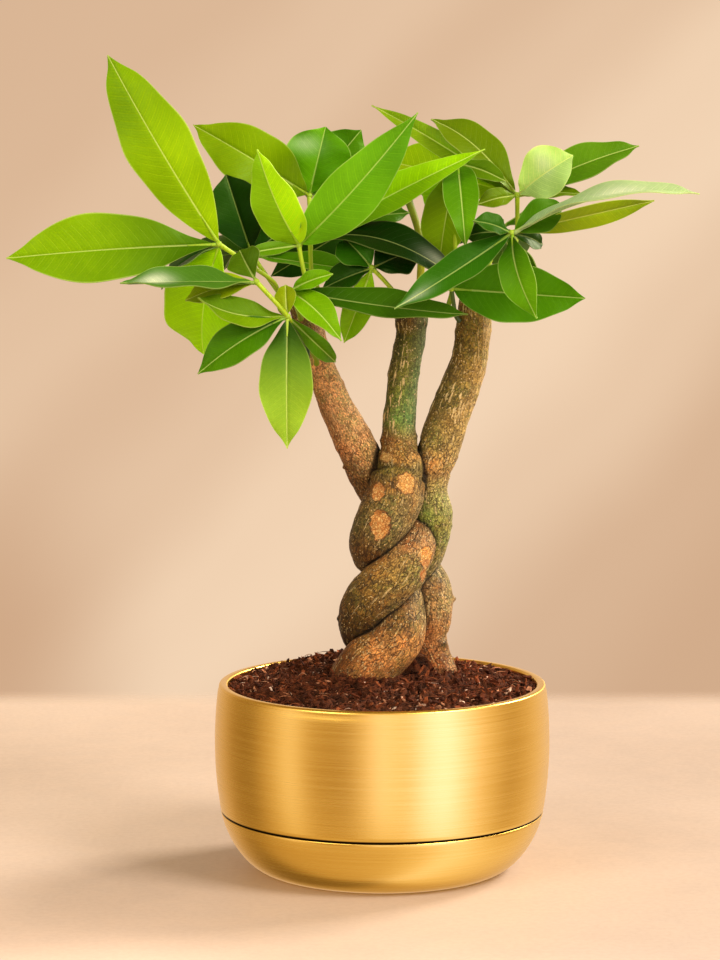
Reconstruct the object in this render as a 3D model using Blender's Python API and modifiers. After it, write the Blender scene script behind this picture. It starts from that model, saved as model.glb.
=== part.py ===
# Potted money tree: three braided trunks with palmate leaves, in a two-part metal pot filled with coir.
# Lengths in the tables below are millimetres and are scaled to metres where the meshes are made.
# X is to the right, Y to the back and Z up. The origin is the centre of the pot's foot, on the surface.

import math

import bmesh
import bpy
import numpy as np

MM = 0.001

# Pot, driving dimensions
POT_DIAMETER = 160.0
POT_HEIGHT = 90.0
SEAM_HEIGHT = 28.4
WIDEST_HEIGHT = 61.0
RIM_DRAW_IN = 2.0
SEAM_DRAW_IN = 2.9
FOOT_RADIUS = 53.0
RIM_WIDTH = 4.4
WALL = 2.2
DISH_WALL = 1.8
FLOOR_HEIGHT = 8.0
DRAIN_RADIUS = 6.0
GAP = 0.3
FOOT_FULLNESS = 1.35
LIP_EASE = 0.7
ROLLED_FROM = 76.0
POT_STEPS = 32

# Heights at which the pot's profiles get a point: the shell outside and inside, its nested bottom, the dish
SHELL_HEIGHTS = (76, 61, 46)
INSIDE_HEIGHTS = (14, 20, 30, 46, 61, 76)
NESTED_HEIGHTS = (21, 15, 11)
DISH_HEIGHTS = (23, 18, 13, 8.5, 4.5, 1.6)
DISH_INSIDE_HEIGHTS = (5, 9, 14, 20)

# Soil, driving dimensions
SOIL_EDGE_HEIGHT = 86.3
SOIL_MOUND = 6.0
SOIL_LUMPS = 1.1
SOIL_RADIUS = 76.0
SOIL_CALM_EDGE = 12.0
SOIL_WALL_HEIGHTS = (16, 26, 46, 66)
SOIL_RINGS = (65, 54, 43, 32, 18)
HOLE_CLEARANCE = 0.6

# Trunks: each stop is (x, y, z, radius) of the strand's centre, from its pruned top down to its root
TRUNKS = {
    "trunk_left": [
        (-38, 0, 272, 6.6), (-35, 0, 259, 6.8), (-31, 0, 245, 7.0), (-23, 0, 225, 7.5),
        (-17, 0, 213, 8.4), (-11, 1, 201, 9.2), (-6, 5, 190, 10.2), (-1, 10, 181, 10.8),
        (6, 12, 173, 11.2), (12, 8, 166, 11.6), (14, 1, 160, 12.0), (12, -6, 153, 12.3),
        (7, -10, 145, 12.6), (0, -11, 137, 12.6), (-7, -8, 128, 12.4), (-9, -2, 120, 12.0),
        (-8, 5, 113, 11.6), (-3, 11, 106, 11.2), (3, 14, 98, 10.8), (4, 15, 88, 9.5), (4, 15, 74, 5.0),
    ],
    "trunk_middle": [
        (14, 0, 269, 7.4), (13, 0, 254, 7.0), (10, 0, 235, 7.2), (8, 0, 215, 7.8),
        (8, 0, 206, 9.0), (8, -2, 199, 11.4), (8, -6, 191, 13.0), (6, -9, 181, 13.6),
        (1, -9, 170, 13.4), (-3, -6, 160, 12.6), (-3, 1, 153, 12.0), (2, 8, 148, 11.6),
        (10, 12, 144, 11.6), (17, 11, 139, 12.0), (21, 8, 132, 12.4), (21, 5, 122, 12.2),
        (20, 4, 112, 11.0), (23, 3, 102, 9.6), (28, 2, 92, 8.6), (32, 1, 83, 7.0), (34, 1, 74, 5.0),
    ],
    "trunk_right": [
        (44, 0, 272, 8.0), (43, 0, 260, 8.3), (41, 0, 244, 8.8), (38, 0, 235, 9.2),
        (34, 0, 225, 9.4), (30, 0, 213, 9.8), (26, 0, 202, 10.0), (22, 1, 190, 10.2),
        (20, 3, 180, 11.4), (21, 5, 170, 12.2), (20, 6, 160, 12.0), (17, 5, 151, 11.6),
        (12, 4, 142, 11.4), (9, 2, 134, 11.4), (9, -3, 126, 12.0), (8, -9, 117, 12.6),
        (4, -11, 110, 13.2), (-4, -11, 102, 14.2), (-9, -9, 95, 14.8), (-13, -8, 87, 13.6),
        (-15, -7, 74, 8.0),
    ],
}
TRUNK_SIDES = 12
BRAID_FOOT = 89.0
BRAID_TOP = 204.0
BRAID_STEP = 3.0
BRANCH_STEP = 9.0
STRAND_GAP = 0.8
CUT_TOP_ROUND = 1.2
STEEPEST_STRETCH = 1.5

# Leaves: thickness of a blade, and the shape that all the leaflets share
BLADE_THICKNESS = 0.8
BLADE_STATIONS = (0.0, 0.13, 0.32, 0.53, 0.74, 0.90, 1.0)
BLADE_ARCH = 0.10
FOLD = 0.22
WAVE = 0.035
PETIOLE_RADIUS = 1.3
PETIOLE_STEP = 10.0
HUB_RADIUS = 1.9
FOOT_SINK = 1.1
TIP_HALF_WIDTH = 0.5
FOOT_FLARE = 1.35
WIDEST = 0.53
TAPER = 0.8


def blade(tip, width, tilt, turn=0, arch=BLADE_ARCH, fold=FOLD, widest=WIDEST, taper=TAPER):
    """One leaflet: where its tip is, how wide it is, and where its upper face looks. A tilt of 0 looks up,
    90 to the front; turn swings that round the vertical. It is widest at this share of its length, and a
    greater taper draws its ends out finer."""
    return {"tip": tip, "width": width, "tilt": tilt, "turn": turn, "arch": arch, "fold": fold,
            "widest": widest, "taper": taper}


# Each leafy stem: the trunk it grows on, the height and the compass bearing of its foot there (0 is +X, 90
# the back), the points its petiole runs through, and the leaflets that spread from a point of it
LEAVES = {
    "leaf_left_outer": {
        "trunk": "trunk_left", "foot": (266, 185),
        "petiole": [(-50, -9, 280), (-59, -16, 288), (-76, -22, 300)],
        "crowns": [((-76, -22, 300), [
            blade((-128, -8, 387), 32, 80, -15, 0.06, -0.10, widest=0.5),
            blade((-174, -30, 294), 34, 68, -10, 0.03, widest=0.56, taper=0.95),
            blade((-104, -4, 278), 20, 30, -20),
            blade((-85, 10, 246), 40, 75, -20),
        ])],
    },
    "leaf_left_front": {
        "trunk": "trunk_left", "foot": (243, 265), "petiole": [(-44, -42, 268), (-58, -45, 284)],
        "crowns": [((-44, -42, 268), [
            blade((-84, -60, 278), 18, 50, -20, -0.12, taper=0.95),
            blade((-85, -48, 242), 20, 75, -25, taper=0.95),
            blade((-44, -52, 208), 25, 90, -5, 0.05, widest=0.5, taper=0.95),
            blade((-35, -17, 237), 6, 60, 60, taper=0.95),
            blade((-45, -34, 282), 10, 70, -10),
            blade((-22, -10, 244), 9, 85, 0),
        ]), ((-58, -45, 284), [
            blade((-119, -66, 285), 24, 26, -20, 0.01, taper=0.95),
            blade((-91, -38, 275), 14, 60, -30),
            blade((-66, -36, 298), 17, 100, 0, widest=0.62, taper=0.95),
        ])],
    },
    "leaf_left_inner": {
        "trunk": "trunk_left", "foot": (264, 255), "petiole": [(-43, -28, 279)],
        "crowns": [((-43, -28, 279), [
            blade((-19, -46, 257), 16, 60, 20, widest=0.42, taper=0.95),
            blade((-23, -34, 287), 9, 60, 0),
            blade((39, -42, 269), 20, 40, 10, -0.02, taper=0.95),
        ])],
    },
    "leaf_left_upright": {
        "trunk": "trunk_left", "foot": (268, 310), "petiole": [(-36, -16, 284), (-39, -16, 299)],
        "crowns": [((-39, -16, 299), [
            blade((-58, -28, 344), 23, 90, -20, widest=0.38, taper=0.85),
            blade((16, -36, 361), 26, 80, 20, widest=0.42, taper=0.95),
            blade((-64, -30, 296), 7, 70, -10, 0.04, taper=0.95),
        ])],
    },
    "leaf_left_crossing": {
        "trunk": "trunk_left", "foot": (266, 10), "petiole": [(-33, 0, 284), (-34, 2, 301)],
        "crowns": [((-34, 2, 301), [
            blade((47, -26, 344), 18, 60, 10, 0.03, widest=0.42, taper=1.0),
            blade((34, -34, 285), 22, 40, 10, 0.15),
            blade((13, 14, 313), 18, 50, 0),
        ])],
    },
    "leaf_left_back": {
        "trunk": "trunk_left", "foot": (266, 75), "petiole": [(-34, 28, 292), (-35, 38, 320)],
        "crowns": [((-35, 38, 320), [
            blade((-90, 28, 354), 29, 75, -15, 0.22, widest=0.5, taper=0.9),
            blade((-27, 34, 353), 33, 88, 0, 0.06, widest=0.58),
            blade((-10, 54, 351), 28, 80, 15, -0.06),
            blade((-58, 88, 330), 24, 20, 160),
            blade((-8, 92, 318), 24, 20, 190),
        ])],
    },
    "leaf_left_dark": {
        "trunk": "trunk_left", "foot": (258, 110), "petiole": [(-50, 14, 276), (-62, 16, 293)],
        "crowns": [((-62, 16, 293), [
            blade((-74, 12, 331), 27, 85, 0, widest=0.58),
            blade((-39, 24, 309), 18, 70, 0),
            blade((-4, 12, 285), 17, 30, 10, 0.0, taper=0.95),
            blade((-98, 44, 289), 22, 30, -60),
            blade((-78, 76, 282), 22, 20, 180),
        ])],
    },
    "leaf_middle_front": {
        "trunk": "trunk_middle", "foot": (265, 215), "petiole": [(7, -16, 275), (-5, -22, 289)],
        "crowns": [((-5, -22, 289), [
            blade((-18, -8, 302), 20, 60, -10),
            blade((15, -14, 297), 24, 50, 10, 0.04),
            blade((-28, -14, 279), 18, 50, -20, 0.04),
            blade((-18, -20, 254), 14, 85, 10, 0.02),
        ])],
    },
    "shoot_middle": {
        "trunk": "trunk_middle", "foot": (262, 60), "stem": 2.3,
        "petiole": [(18, 11, 276), (18, 10, 300), (12, 40, 320)],
        "crowns": [((12, 40, 320), [
            blade((-18, 96, 332), 24, 20, 170),
            blade((40, 96, 322), 24, 20, 200),
            blade((-54, 58, 280), 24, 75, 10, 0.04),
            blade((44, 62, 330), 22, 30, 200),
        ])],
    },
    "leaf_right_front": {
        "trunk": "trunk_right", "foot": (266, 325),
        "petiole": [(62, -10, 284), (62, -14, 300), (59, -38, 306)],
        "crowns": [((59, -38, 306), [
            blade((5, -62, 273), 17, 65, -15, -0.02, widest=0.45, taper=0.95),
            blade((70, -56, 268), 17, 85, -25, 0.18, taper=0.95),
            blade((41, -46, 312), 12, 50, 0, taper=0.95),
            blade((39, -24, 304), 12, 60, 0),
            blade((143, -60, 325), 19, 18, 0, 0.10, taper=0.95),
            blade((126, -20, 320), 12, 115, 0, 0.0),
            blade((74, -26, 300), 12, 60, 10),
            blade((83, -30, 319), 16, 75, 10, taper=0.95),
        ])],
    },
    "leaf_right_low": {
        "trunk": "trunk_right", "foot": (263, 224), "petiole": [(32, -18, 279)],
        "crowns": [((32, -18, 279), [
            blade((94, -24, 275), 28, 85, 5, 0.0, widest=0.44),
        ])],
    },
    "leaf_right_top": {
        "trunk": "trunk_right", "foot": (266, 30), "petiole": [(61, 6, 286), (63, -2, 304), (63, -6, 322)],
        "crowns": [((63, -6, 322), [
            blade((23, 16, 357), 20, 52, 10, 0.14, widest=0.5, taper=0.95),
            blade((88, -20, 341), 25, 75, -10, widest=0.58),
            blade((93, -14, 323), 10, 35, 0, 0.05, taper=0.95),
            blade((44, -14, 318), 10, 60, 0),
            blade((120, -2, 345), 20, 50, 0, 0.06, taper=0.95),
            blade((-5, 44, 363), 11, 80, 0, widest=0.42, taper=1.0),
            blade((0, 42, 337), 27, 75, 0, 0.04),
        ])],
    },
    "leaf_right_inner": {
        "trunk": "trunk_right", "foot": (266, 170), "petiole": [(34, -2, 284), (34, -6, 310), (35, -8, 337)],
        "crowns": [((35, -8, 337), [
            blade((38, -36, 299), 17, 85, 0, widest=0.38, taper=0.9),
            blade((57, -18, 329), 10, 60, 0),
            blade((27, 4, 291), 22, 80, -10),
            blade((20, 8, 317), 16, 70, -10),
        ])],
    },
    "leaf_right_back": {
        "trunk": "trunk_right", "foot": (264, 70), "petiole": [(50, 24, 284), (58, 38, 304)],
        "crowns": [((58, 38, 304), [
            blade((78, 72, 262), 20, 20, 120, 0.0),
            blade((62, 108, 274), 24, 20, 160),
            blade((34, 92, 292), 24, 20, 190),
            blade((84, 44, 334), 22, 60, 100),
        ])],
    },
}

# Colours
GOLD = (0.83, 0.60, 0.22)
COIR = (0.10, 0.045, 0.025)
BARK = (0.24, 0.17, 0.08)
LEAF_GREEN = (0.16, 0.36, 0.03)


# Curves and sections


def unit(vector):
    return np.asarray(vector, float) / np.linalg.norm(vector)


def smooth_curve(points, spacing):
    """Points about this far apart on a smooth (Catmull-Rom) curve through the given rows of numbers."""
    rows = np.asarray(points, float)
    ends = np.vstack([2 * rows[0] - rows[1], rows, 2 * rows[-1] - rows[-2]])
    curve = []
    for before, start, stop, after in zip(ends, ends[1:], ends[2:], ends[3:]):
        steps = max(1, math.ceil(np.linalg.norm((stop - start)[:3]) / spacing))
        for t in np.arange(steps) / steps:
            curve.append(0.5 * (
                2 * start + (stop - before) * t
                + (2 * before - 5 * start + 4 * stop - after) * t**2
                + (3 * start - before - 3 * stop + after) * t**3
            ))
    return np.array(curve + [rows[-1]])


def strand_at(name, height):
    """(centre x, centre y, radius, slope in x, slope in y) of a strand at this height."""
    curve = STRANDS[name]
    values = [np.interp(height, curve[::-1, 2], curve[::-1, i]) for i in (0, 1, 3)]
    above = [np.interp(height + 2, curve[::-1, 2], curve[::-1, i]) for i in (0, 1)]
    below = [np.interp(height - 2, curve[::-1, 2], curve[::-1, i]) for i in (0, 1)]
    return (*values, (above[0] - below[0]) / 4, (above[1] - below[1]) / 4)


def strand_radii(name, height, bearings, grown=0.0):
    """Distance from the strand's centre to its bark in each direction: the round stem cut level, and where
    it is pressed against another strand, half of the way to that one's centre."""
    x, y, radius, slope_x, slope_y = strand_at(name, height)
    stretch = min(math.hypot(1, slope_x, slope_y), STEEPEST_STRETCH)
    along = np.cos(bearings - math.atan2(slope_y, slope_x))
    radii = radius / np.sqrt(along**2 / stretch**2 + 1 - along**2)
    for other, curve in STRANDS.items():
        if other == name or not curve[-1, 2] <= height <= curve[0, 2]:
            continue
        other_x, other_y, other_radius = strand_at(other, height)[:3]
        apart = math.hypot(other_x - x, other_y - y)
        share = (apart**2 + radius**2 - other_radius**2) / (2 * apart) - STRAND_GAP / 2
        facing = np.cos(bearings - math.atan2(other_y - y, other_x - x))
        radii = np.minimum(radii, np.where(facing > 0.05, share / np.maximum(facing, 0.05), np.inf))
    return radii + grown


STRANDS = {name: smooth_curve(stops, 1.0) for name, stops in TRUNKS.items()}


def strand_sections(name, grown=0.0):
    """The strand's level outlines from its root to its pruned top, each a ring of points."""
    top, root = STRANDS[name][0, 2], STRANDS[name][-1, 2]
    heights = [root, (root + BRAID_FOOT) / 2, *np.arange(BRAID_FOOT, BRAID_TOP, BRAID_STEP)]
    heights += [*np.arange(BRAID_TOP, top - BRANCH_STEP / 2, BRANCH_STEP), top - CUT_TOP_ROUND, top]
    bearings = np.arange(TRUNK_SIDES) * 2 * math.pi / TRUNK_SIDES
    sections = []
    for height in heights:
        x, y = strand_at(name, height)[:2]
        radii = strand_radii(name, height, bearings, grown) - CUT_TOP_ROUND * (height == top)
        level = np.full(TRUNK_SIDES, height)
        sections.append(np.stack([x + radii * np.cos(bearings), y + radii * np.sin(bearings), level], 1))
    return sections


def bark_point(name, height, bearing):
    """A point of the bark and the direction that it faces."""
    x, y, _, slope_x, slope_y = strand_at(name, height)
    radius = strand_radii(name, height, np.array([bearing]))[0]
    outward = np.array([math.cos(bearing), math.sin(bearing), 0.0])
    axis = unit([slope_x, slope_y, 1])
    point = np.array([x, y, height]) + radius * outward
    return point, unit(outward - outward.dot(axis) * axis)


def leaf_outline(t, spec):
    """Half of a leaflet's width along its length, as a share of the widest: a narrow foot and a drawn-out
    tip."""
    return math.sin(math.pi * t ** (math.log(0.5) / math.log(spec["widest"]))) ** spec["taper"]


def blade_frame(foot, spec, t):
    """A point of the leaflet's midrib, with the directions across the blade and out of its upper face."""
    foot, tip = np.asarray(foot, float), np.asarray(spec["tip"], float)
    tilt, turn = math.radians(spec["tilt"]), math.radians(spec["turn"])
    face = np.array([math.sin(tilt) * math.sin(turn), -math.sin(tilt) * math.cos(turn), math.cos(tilt)])
    length = np.linalg.norm(tip - foot)
    chord = (tip - foot) / length
    out = unit(face - face.dot(chord) * chord)
    middle = (foot + tip) / 2 + 2 * spec["arch"] * length * out
    point = (1 - t) ** 2 * foot + 2 * t * (1 - t) * middle + t**2 * tip
    along = unit(2 * (1 - t) * (middle - foot) + 2 * t * (tip - middle))
    across = unit(np.cross(out, along))
    return point, across, np.cross(along, across)


def blade_sections(foot, spec):
    """The leaflet's cross-sections from foot to tip: a shallow V along the midrib with waved edges."""
    centre, sections = np.asarray(foot, float), []
    foot = centre + FOOT_SINK * unit(spec["tip"] - centre)
    for i, t in enumerate(BLADE_STATIONS):
        point, across, out = blade_frame(foot, spec, t)
        half = max(spec["width"] / 2 * leaf_outline(min(max(t, 0.02), 0.995), spec), TIP_HALF_WIDTH)
        wave = WAVE * spec["width"] * (-1) ** i * (0 < i < len(BLADE_STATIONS) - 1)
        left = point - half * across + (spec["fold"] * half + wave) * out
        right = point + half * across + (spec["fold"] * half - wave) * out
        thick = BLADE_THICKNESS * out
        sections.append(np.array([left, point, right, right - thick, point - thick, left - thick]))
    return sections


# Meshes


def new_object(name, mesh, material, collection):
    thing = bpy.data.objects.new(name, mesh)
    thing.data.materials.append(material)
    collection.objects.link(thing)
    return thing


def loft(name, sections, material, collection):
    """A closed mesh through rings of equally many points. The far half of a ring is split along the other
    diagonal, so that the two faces of a blade, which are its two halves, are split alike."""
    mesh = bpy.data.meshes.new(name)
    form = bmesh.new()
    rings = [[form.verts.new(point * MM) for point in section] for section in sections]
    for ring, following in zip(rings, rings[1:]):
        for i in range(len(ring)):
            j = (i + 1) % len(ring)
            if i < len(ring) / 2:
                form.faces.new((ring[i], ring[j], following[j]))
                form.faces.new((ring[i], following[j], following[i]))
            else:
                form.faces.new((ring[i], ring[j], following[i]))
                form.faces.new((ring[j], following[j], following[i]))
    form.faces.new(rings[0][::-1])
    form.faces.new(rings[-1])
    bmesh.ops.recalc_face_normals(form, faces=form.faces)
    form.to_mesh(mesh)
    form.free()
    return new_object(name, mesh, material, collection)


def turned(name, profile, material, collection):
    """A turned shape from its profile of (radius, height). One that doesn't start on the axis is a closed
    loop."""
    mesh = bpy.data.meshes.new(name)
    edges = [(i, i + 1) for i in range(len(profile) - 1)]
    if profile[0][0] > 0:
        edges.append((len(profile) - 1, 0))
    mesh.from_pydata([(r * MM, 0, z * MM) for r, z in profile], edges, [])
    thing = new_object(name, mesh, material, collection)
    screw = thing.modifiers.new("Turn", "SCREW")
    screw.steps = screw.render_steps = POT_STEPS
    screw.use_merge_vertices = True
    screw.merge_threshold = 0.00001
    return thing


def tube(name, points, radii, material, collection):
    """A round stem along smooth points, as a curve with filled caps made into a closed mesh."""
    curve = bpy.data.curves.new(name, "CURVE")
    curve.dimensions = "3D"
    curve.bevel_depth = MM
    curve.bevel_resolution = 1
    curve.use_fill_caps = True
    spline = curve.splines.new("POLY")
    spline.points.add(len(points) - 1)
    for target, point, radius in zip(spline.points, points, radii):
        target.co = (*(point * MM), 1)
        target.radius = radius
    guide = bpy.data.objects.new(name, curve)
    collection.objects.link(guide)
    bpy.context.view_layer.update()
    mesh = bpy.data.meshes.new_from_object(guide.evaluated_get(bpy.context.evaluated_depsgraph_get()))
    place = guide.matrix_world.copy()
    bpy.data.objects.remove(guide)
    form = bmesh.new()
    form.from_mesh(mesh)
    bmesh.ops.remove_doubles(form, verts=form.verts, dist=0.00001)
    bmesh.ops.recalc_face_normals(form, faces=form.faces)
    form.to_mesh(mesh)
    form.free()
    mesh.materials.clear()
    thing = new_object(name, mesh, material, collection)
    thing.matrix_world = place
    return thing


def hub(name, centre, radius, material, collection):
    """The small knuckle that leaflets spread from."""
    mesh = bpy.data.meshes.new(name)
    form = bmesh.new()
    bmesh.ops.create_uvsphere(form, u_segments=6, v_segments=4, radius=radius * MM)
    bmesh.ops.translate(form, verts=form.verts, vec=np.asarray(centre) * MM)
    form.to_mesh(mesh)
    form.free()
    return new_object(name, mesh, material, collection)


def apply_modifiers(thing):
    bpy.context.view_layer.update()
    mesh = bpy.data.meshes.new_from_object(thing.evaluated_get(bpy.context.evaluated_depsgraph_get()))
    thing.modifiers.clear()
    thing.data = mesh


def joined(name, pieces, material, collection):
    """One body from overlapping pieces, whose objects are then removed."""
    whole = new_object(name, pieces[0].data, material, collection)
    rest = bpy.data.collections.new(name + " pieces")
    bpy.context.scene.collection.children.link(rest)
    for piece in pieces[1:]:
        rest.objects.link(piece)
    union = whole.modifiers.new("Join", "BOOLEAN")
    union.operation = "UNION"
    union.operand_type = "COLLECTION"
    union.collection = rest
    union.solver = "MANIFOLD"
    apply_modifiers(whole)
    for piece in pieces:
        bpy.data.objects.remove(piece)
    bpy.data.collections.remove(rest)
    whole.data.materials.clear()
    whole.data.materials.append(material)
    return whole


def round_shading(thing):
    thing.data.shade_smooth()
    thing.data.set_sharp_from_angle(angle=math.radians(40))


def material(name, colour, roughness, metallic=0.0):
    made = bpy.data.materials.new(name)
    made.use_nodes = True
    shader = made.node_tree.nodes["Principled BSDF"]
    shader.inputs["Base Color"].default_value = (*colour, 1)
    shader.inputs["Roughness"].default_value = roughness
    shader.inputs["Metallic"].default_value = metallic
    return made


# Pot


def body_radius(height):
    """The pot's outer radius: upright, fullest at two thirds of its height and rounding into the foot."""
    widest = POT_DIAMETER / 2
    if height >= WIDEST_HEIGHT:
        return widest - RIM_DRAW_IN * ((height - WIDEST_HEIGHT) / (POT_HEIGHT - WIDEST_HEIGHT)) ** 2
    if height >= SEAM_HEIGHT:
        return widest - SEAM_DRAW_IN * ((WIDEST_HEIGHT - height) / (WIDEST_HEIGHT - SEAM_HEIGHT)) ** 2
    drop = (SEAM_HEIGHT - height) / SEAM_HEIGHT
    return FOOT_RADIUS + (widest - SEAM_DRAW_IN - FOOT_RADIUS) * math.sqrt(1 - drop**FOOT_FULLNESS)


def rim_point(angle):
    """A point of the rolled rim's round section, at this angle in degrees from straight out."""
    turn = math.radians(angle)
    roll = RIM_WIDTH / 2
    radius = body_radius(POT_HEIGHT) - roll + roll * math.cos(turn)
    return radius, POT_HEIGHT - roll + roll * math.sin(turn)


def dish_inner(height):
    """The inner radius of the dish, whose wall thickens towards the foot."""
    return body_radius(height) - DISH_WALL * (1 + 0.8 * (1 - height / SEAM_HEIGHT))


def pot_inner(height):
    """The inner radius of the pot's shell, which thickens into the rolled rim."""
    if height < SEAM_HEIGHT + DISH_WALL:
        return dish_inner(min(height, SEAM_HEIGHT)) - 2 * GAP - WALL
    rolled = max(0.0, (height - ROLLED_FROM) / (POT_HEIGHT - RIM_WIDTH / 2 - ROLLED_FROM))
    return body_radius(height) - WALL - rolled * (RIM_WIDTH - WALL)


def pot_body_profile():
    """Outside down to the seam, in to the part that nests in the dish, its floor, and the inside again."""
    lip = SEAM_HEIGHT + GAP
    nested_floor = dish_inner(FLOOR_HEIGHT) - 4 * GAP
    profile = [rim_point(angle) for angle in (90, 60, 30, 0)]
    profile += [(body_radius(height), height) for height in (*SHELL_HEIGHTS, lip + LIP_EASE)]
    profile += [(body_radius(SEAM_HEIGHT) - LIP_EASE, lip), (dish_inner(SEAM_HEIGHT) - 2 * GAP, lip)]
    profile += [(dish_inner(height) - 2 * GAP, height) for height in NESTED_HEIGHTS]
    profile += [(nested_floor, FLOOR_HEIGHT), (DRAIN_RADIUS, FLOOR_HEIGHT)]
    profile += [(DRAIN_RADIUS, FLOOR_HEIGHT + WALL), (nested_floor - WALL, FLOOR_HEIGHT + WALL)]
    profile += [(pot_inner(height), height) for height in INSIDE_HEIGHTS]
    return profile + [rim_point(angle) for angle in (180, 150, 120)]


def pot_base_profile():
    """The dish: its inside from the middle up to the edge, then its outside down to the flat foot."""
    profile = [(0, WALL), (FOOT_RADIUS, WALL)]
    profile += [(dish_inner(height), height) for height in DISH_INSIDE_HEIGHTS]
    profile += [(dish_inner(SEAM_HEIGHT), SEAM_HEIGHT), (body_radius(SEAM_HEIGHT) - LIP_EASE, SEAM_HEIGHT)]
    profile.append((body_radius(SEAM_HEIGHT), SEAM_HEIGHT - LIP_EASE))
    profile += [(body_radius(height), height) for height in DISH_HEIGHTS]
    return profile + [(FOOT_RADIUS, 0), (0, 0)]


# Soil


def soil_height(x, y):
    """A low mound with a crumbly surface."""
    radius = math.hypot(x, y)
    mound = SOIL_MOUND * (1 - (radius / SOIL_RADIUS) ** 2)
    lumps = math.sin(0.31 * x + 1.3) * math.sin(0.27 * y + 0.4) + 0.7 * math.sin(0.52 * y - 0.38 * x)
    return SOIL_EDGE_HEIGHT + mound + SOIL_LUMPS * lumps * min(1, (SOIL_RADIUS - radius) / SOIL_CALM_EDGE)


def soil_sections():
    """Level rings up the pot's inner wall, then rings over the mounded top."""
    bearings = np.arange(POT_STEPS) * 2 * math.pi / POT_STEPS
    ring = np.stack([np.cos(bearings), np.sin(bearings)], 1)
    wall = [(dish_inner(FLOOR_HEIGHT) - WALL - 8 * GAP, FLOOR_HEIGHT + WALL + GAP)]
    wall += [(pot_inner(height) - 2 * GAP, height) for height in SOIL_WALL_HEIGHTS]
    sections = [np.column_stack([ring * radius, np.full(POT_STEPS, height)]) for radius, height in wall]
    for radius in (pot_inner(SOIL_EDGE_HEIGHT) - 2 * GAP, *SOIL_RINGS):
        edge = ring * radius
        sections.append(np.column_stack([edge, [soil_height(x, y) for x, y in edge]]))
    return sections


def make_soil(finish, parts, cutters):
    soil = loft("soil", soil_sections(), finish, parts)
    for name in TRUNKS:
        cut_by_strand(soil, name, HOLE_CLEARANCE, cutters)


# Trunks


def cut_by_strand(thing, name, clearance, cutters):
    """Leaves room for a strand in its neighbour or in the soil."""
    cutter = loft("room for " + name, strand_sections(name, clearance), thing.data.materials[0], cutters)
    cutter.hide_render = True
    cutter.display_type = "WIRE"
    cut = thing.modifiers.new("Room for " + name, "BOOLEAN")
    cut.operation = "DIFFERENCE"
    cut.solver = "MANIFOLD"
    cut.object = cutter


def make_trunks(parts, cutters):
    made = []
    for name in TRUNKS:
        trunk = loft(name, strand_sections(name), material("Bark of " + name, BARK, 0.8), parts)
        for neighbour in made:
            cut_by_strand(trunk, neighbour, GAP, cutters)
        round_shading(trunk)
        made.append(name)


# Leaves


def petiole_line(plan):
    """The petiole's points. It leaves the bark at 45 degrees, so its round foot starts further out."""
    height, bearing = plan["foot"]
    point, facing = bark_point(plan["trunk"], height, math.radians(bearing))
    foot = point + (GAP + 0.75 * FOOT_FLARE * plan.get("stem", PETIOLE_RADIUS)) * facing
    start = foot + 4 * unit(facing + [0, 0, 1])
    return smooth_curve([foot, start, *plan["petiole"]], PETIOLE_STEP)


def make_leaf(name, plan, finish, parts):
    line = petiole_line(plan)
    radius = plan.get("stem", PETIOLE_RADIUS)
    radii = np.linspace(radius * FOOT_FLARE, radius, len(line))
    pieces = [tube(name + " petiole", line, radii, finish, parts)]
    for centre, blades in plan["crowns"]:
        pieces.append(hub(name + " hub", centre, HUB_RADIUS, finish, parts))
        for spec in blades:
            pieces.append(loft(name + " blade", blade_sections(centre, spec), finish, parts))
    for piece in pieces:
        parts.objects.unlink(piece)
    leaf = joined(name, pieces, finish, parts)
    round_shading(leaf)


def main():
    for thing in list(bpy.data.objects):
        bpy.data.objects.remove(thing)
    parts = bpy.data.collections.new("Potted money tree")
    cutters = bpy.data.collections.new("Cutters")
    for collection in (parts, cutters):
        bpy.context.scene.collection.children.link(collection)
    gold = material("Brushed gold", GOLD, 0.3, 1.0)
    round_shading(turned("pot_base", pot_base_profile(), gold, parts))
    shell = material("Brushed gold shell", GOLD, 0.3, 1.0)
    round_shading(turned("pot_body", pot_body_profile(), shell, parts))
    make_soil(material("Coir", COIR, 0.95), parts, cutters)
    make_trunks(parts, cutters)
    for name, plan in LEAVES.items():
        make_leaf(name, plan, material("Green of " + name, LEAF_GREEN, 0.4), parts)


main()
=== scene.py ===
# Looks of the potted money tree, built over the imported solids. Lengths in the tables and in the working
# arrays are millimetres, and become metres where a mesh is made.

import math

import bpy
import numpy as np
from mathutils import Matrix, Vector, noise


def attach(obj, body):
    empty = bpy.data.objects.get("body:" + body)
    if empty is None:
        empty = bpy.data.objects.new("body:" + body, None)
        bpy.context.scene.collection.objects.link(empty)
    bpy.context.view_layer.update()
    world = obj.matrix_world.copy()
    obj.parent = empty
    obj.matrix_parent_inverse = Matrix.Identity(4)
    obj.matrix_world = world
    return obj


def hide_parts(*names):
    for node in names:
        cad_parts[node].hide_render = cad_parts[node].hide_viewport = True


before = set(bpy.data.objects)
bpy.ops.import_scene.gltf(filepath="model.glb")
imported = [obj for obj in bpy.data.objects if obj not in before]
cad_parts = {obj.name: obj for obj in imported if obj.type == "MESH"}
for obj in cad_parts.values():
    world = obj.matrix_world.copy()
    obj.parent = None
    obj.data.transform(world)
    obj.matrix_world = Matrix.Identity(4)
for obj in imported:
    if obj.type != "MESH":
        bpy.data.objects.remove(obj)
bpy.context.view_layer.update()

MM = 0.001
POINTS_AT_ONCE = 6000

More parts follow.
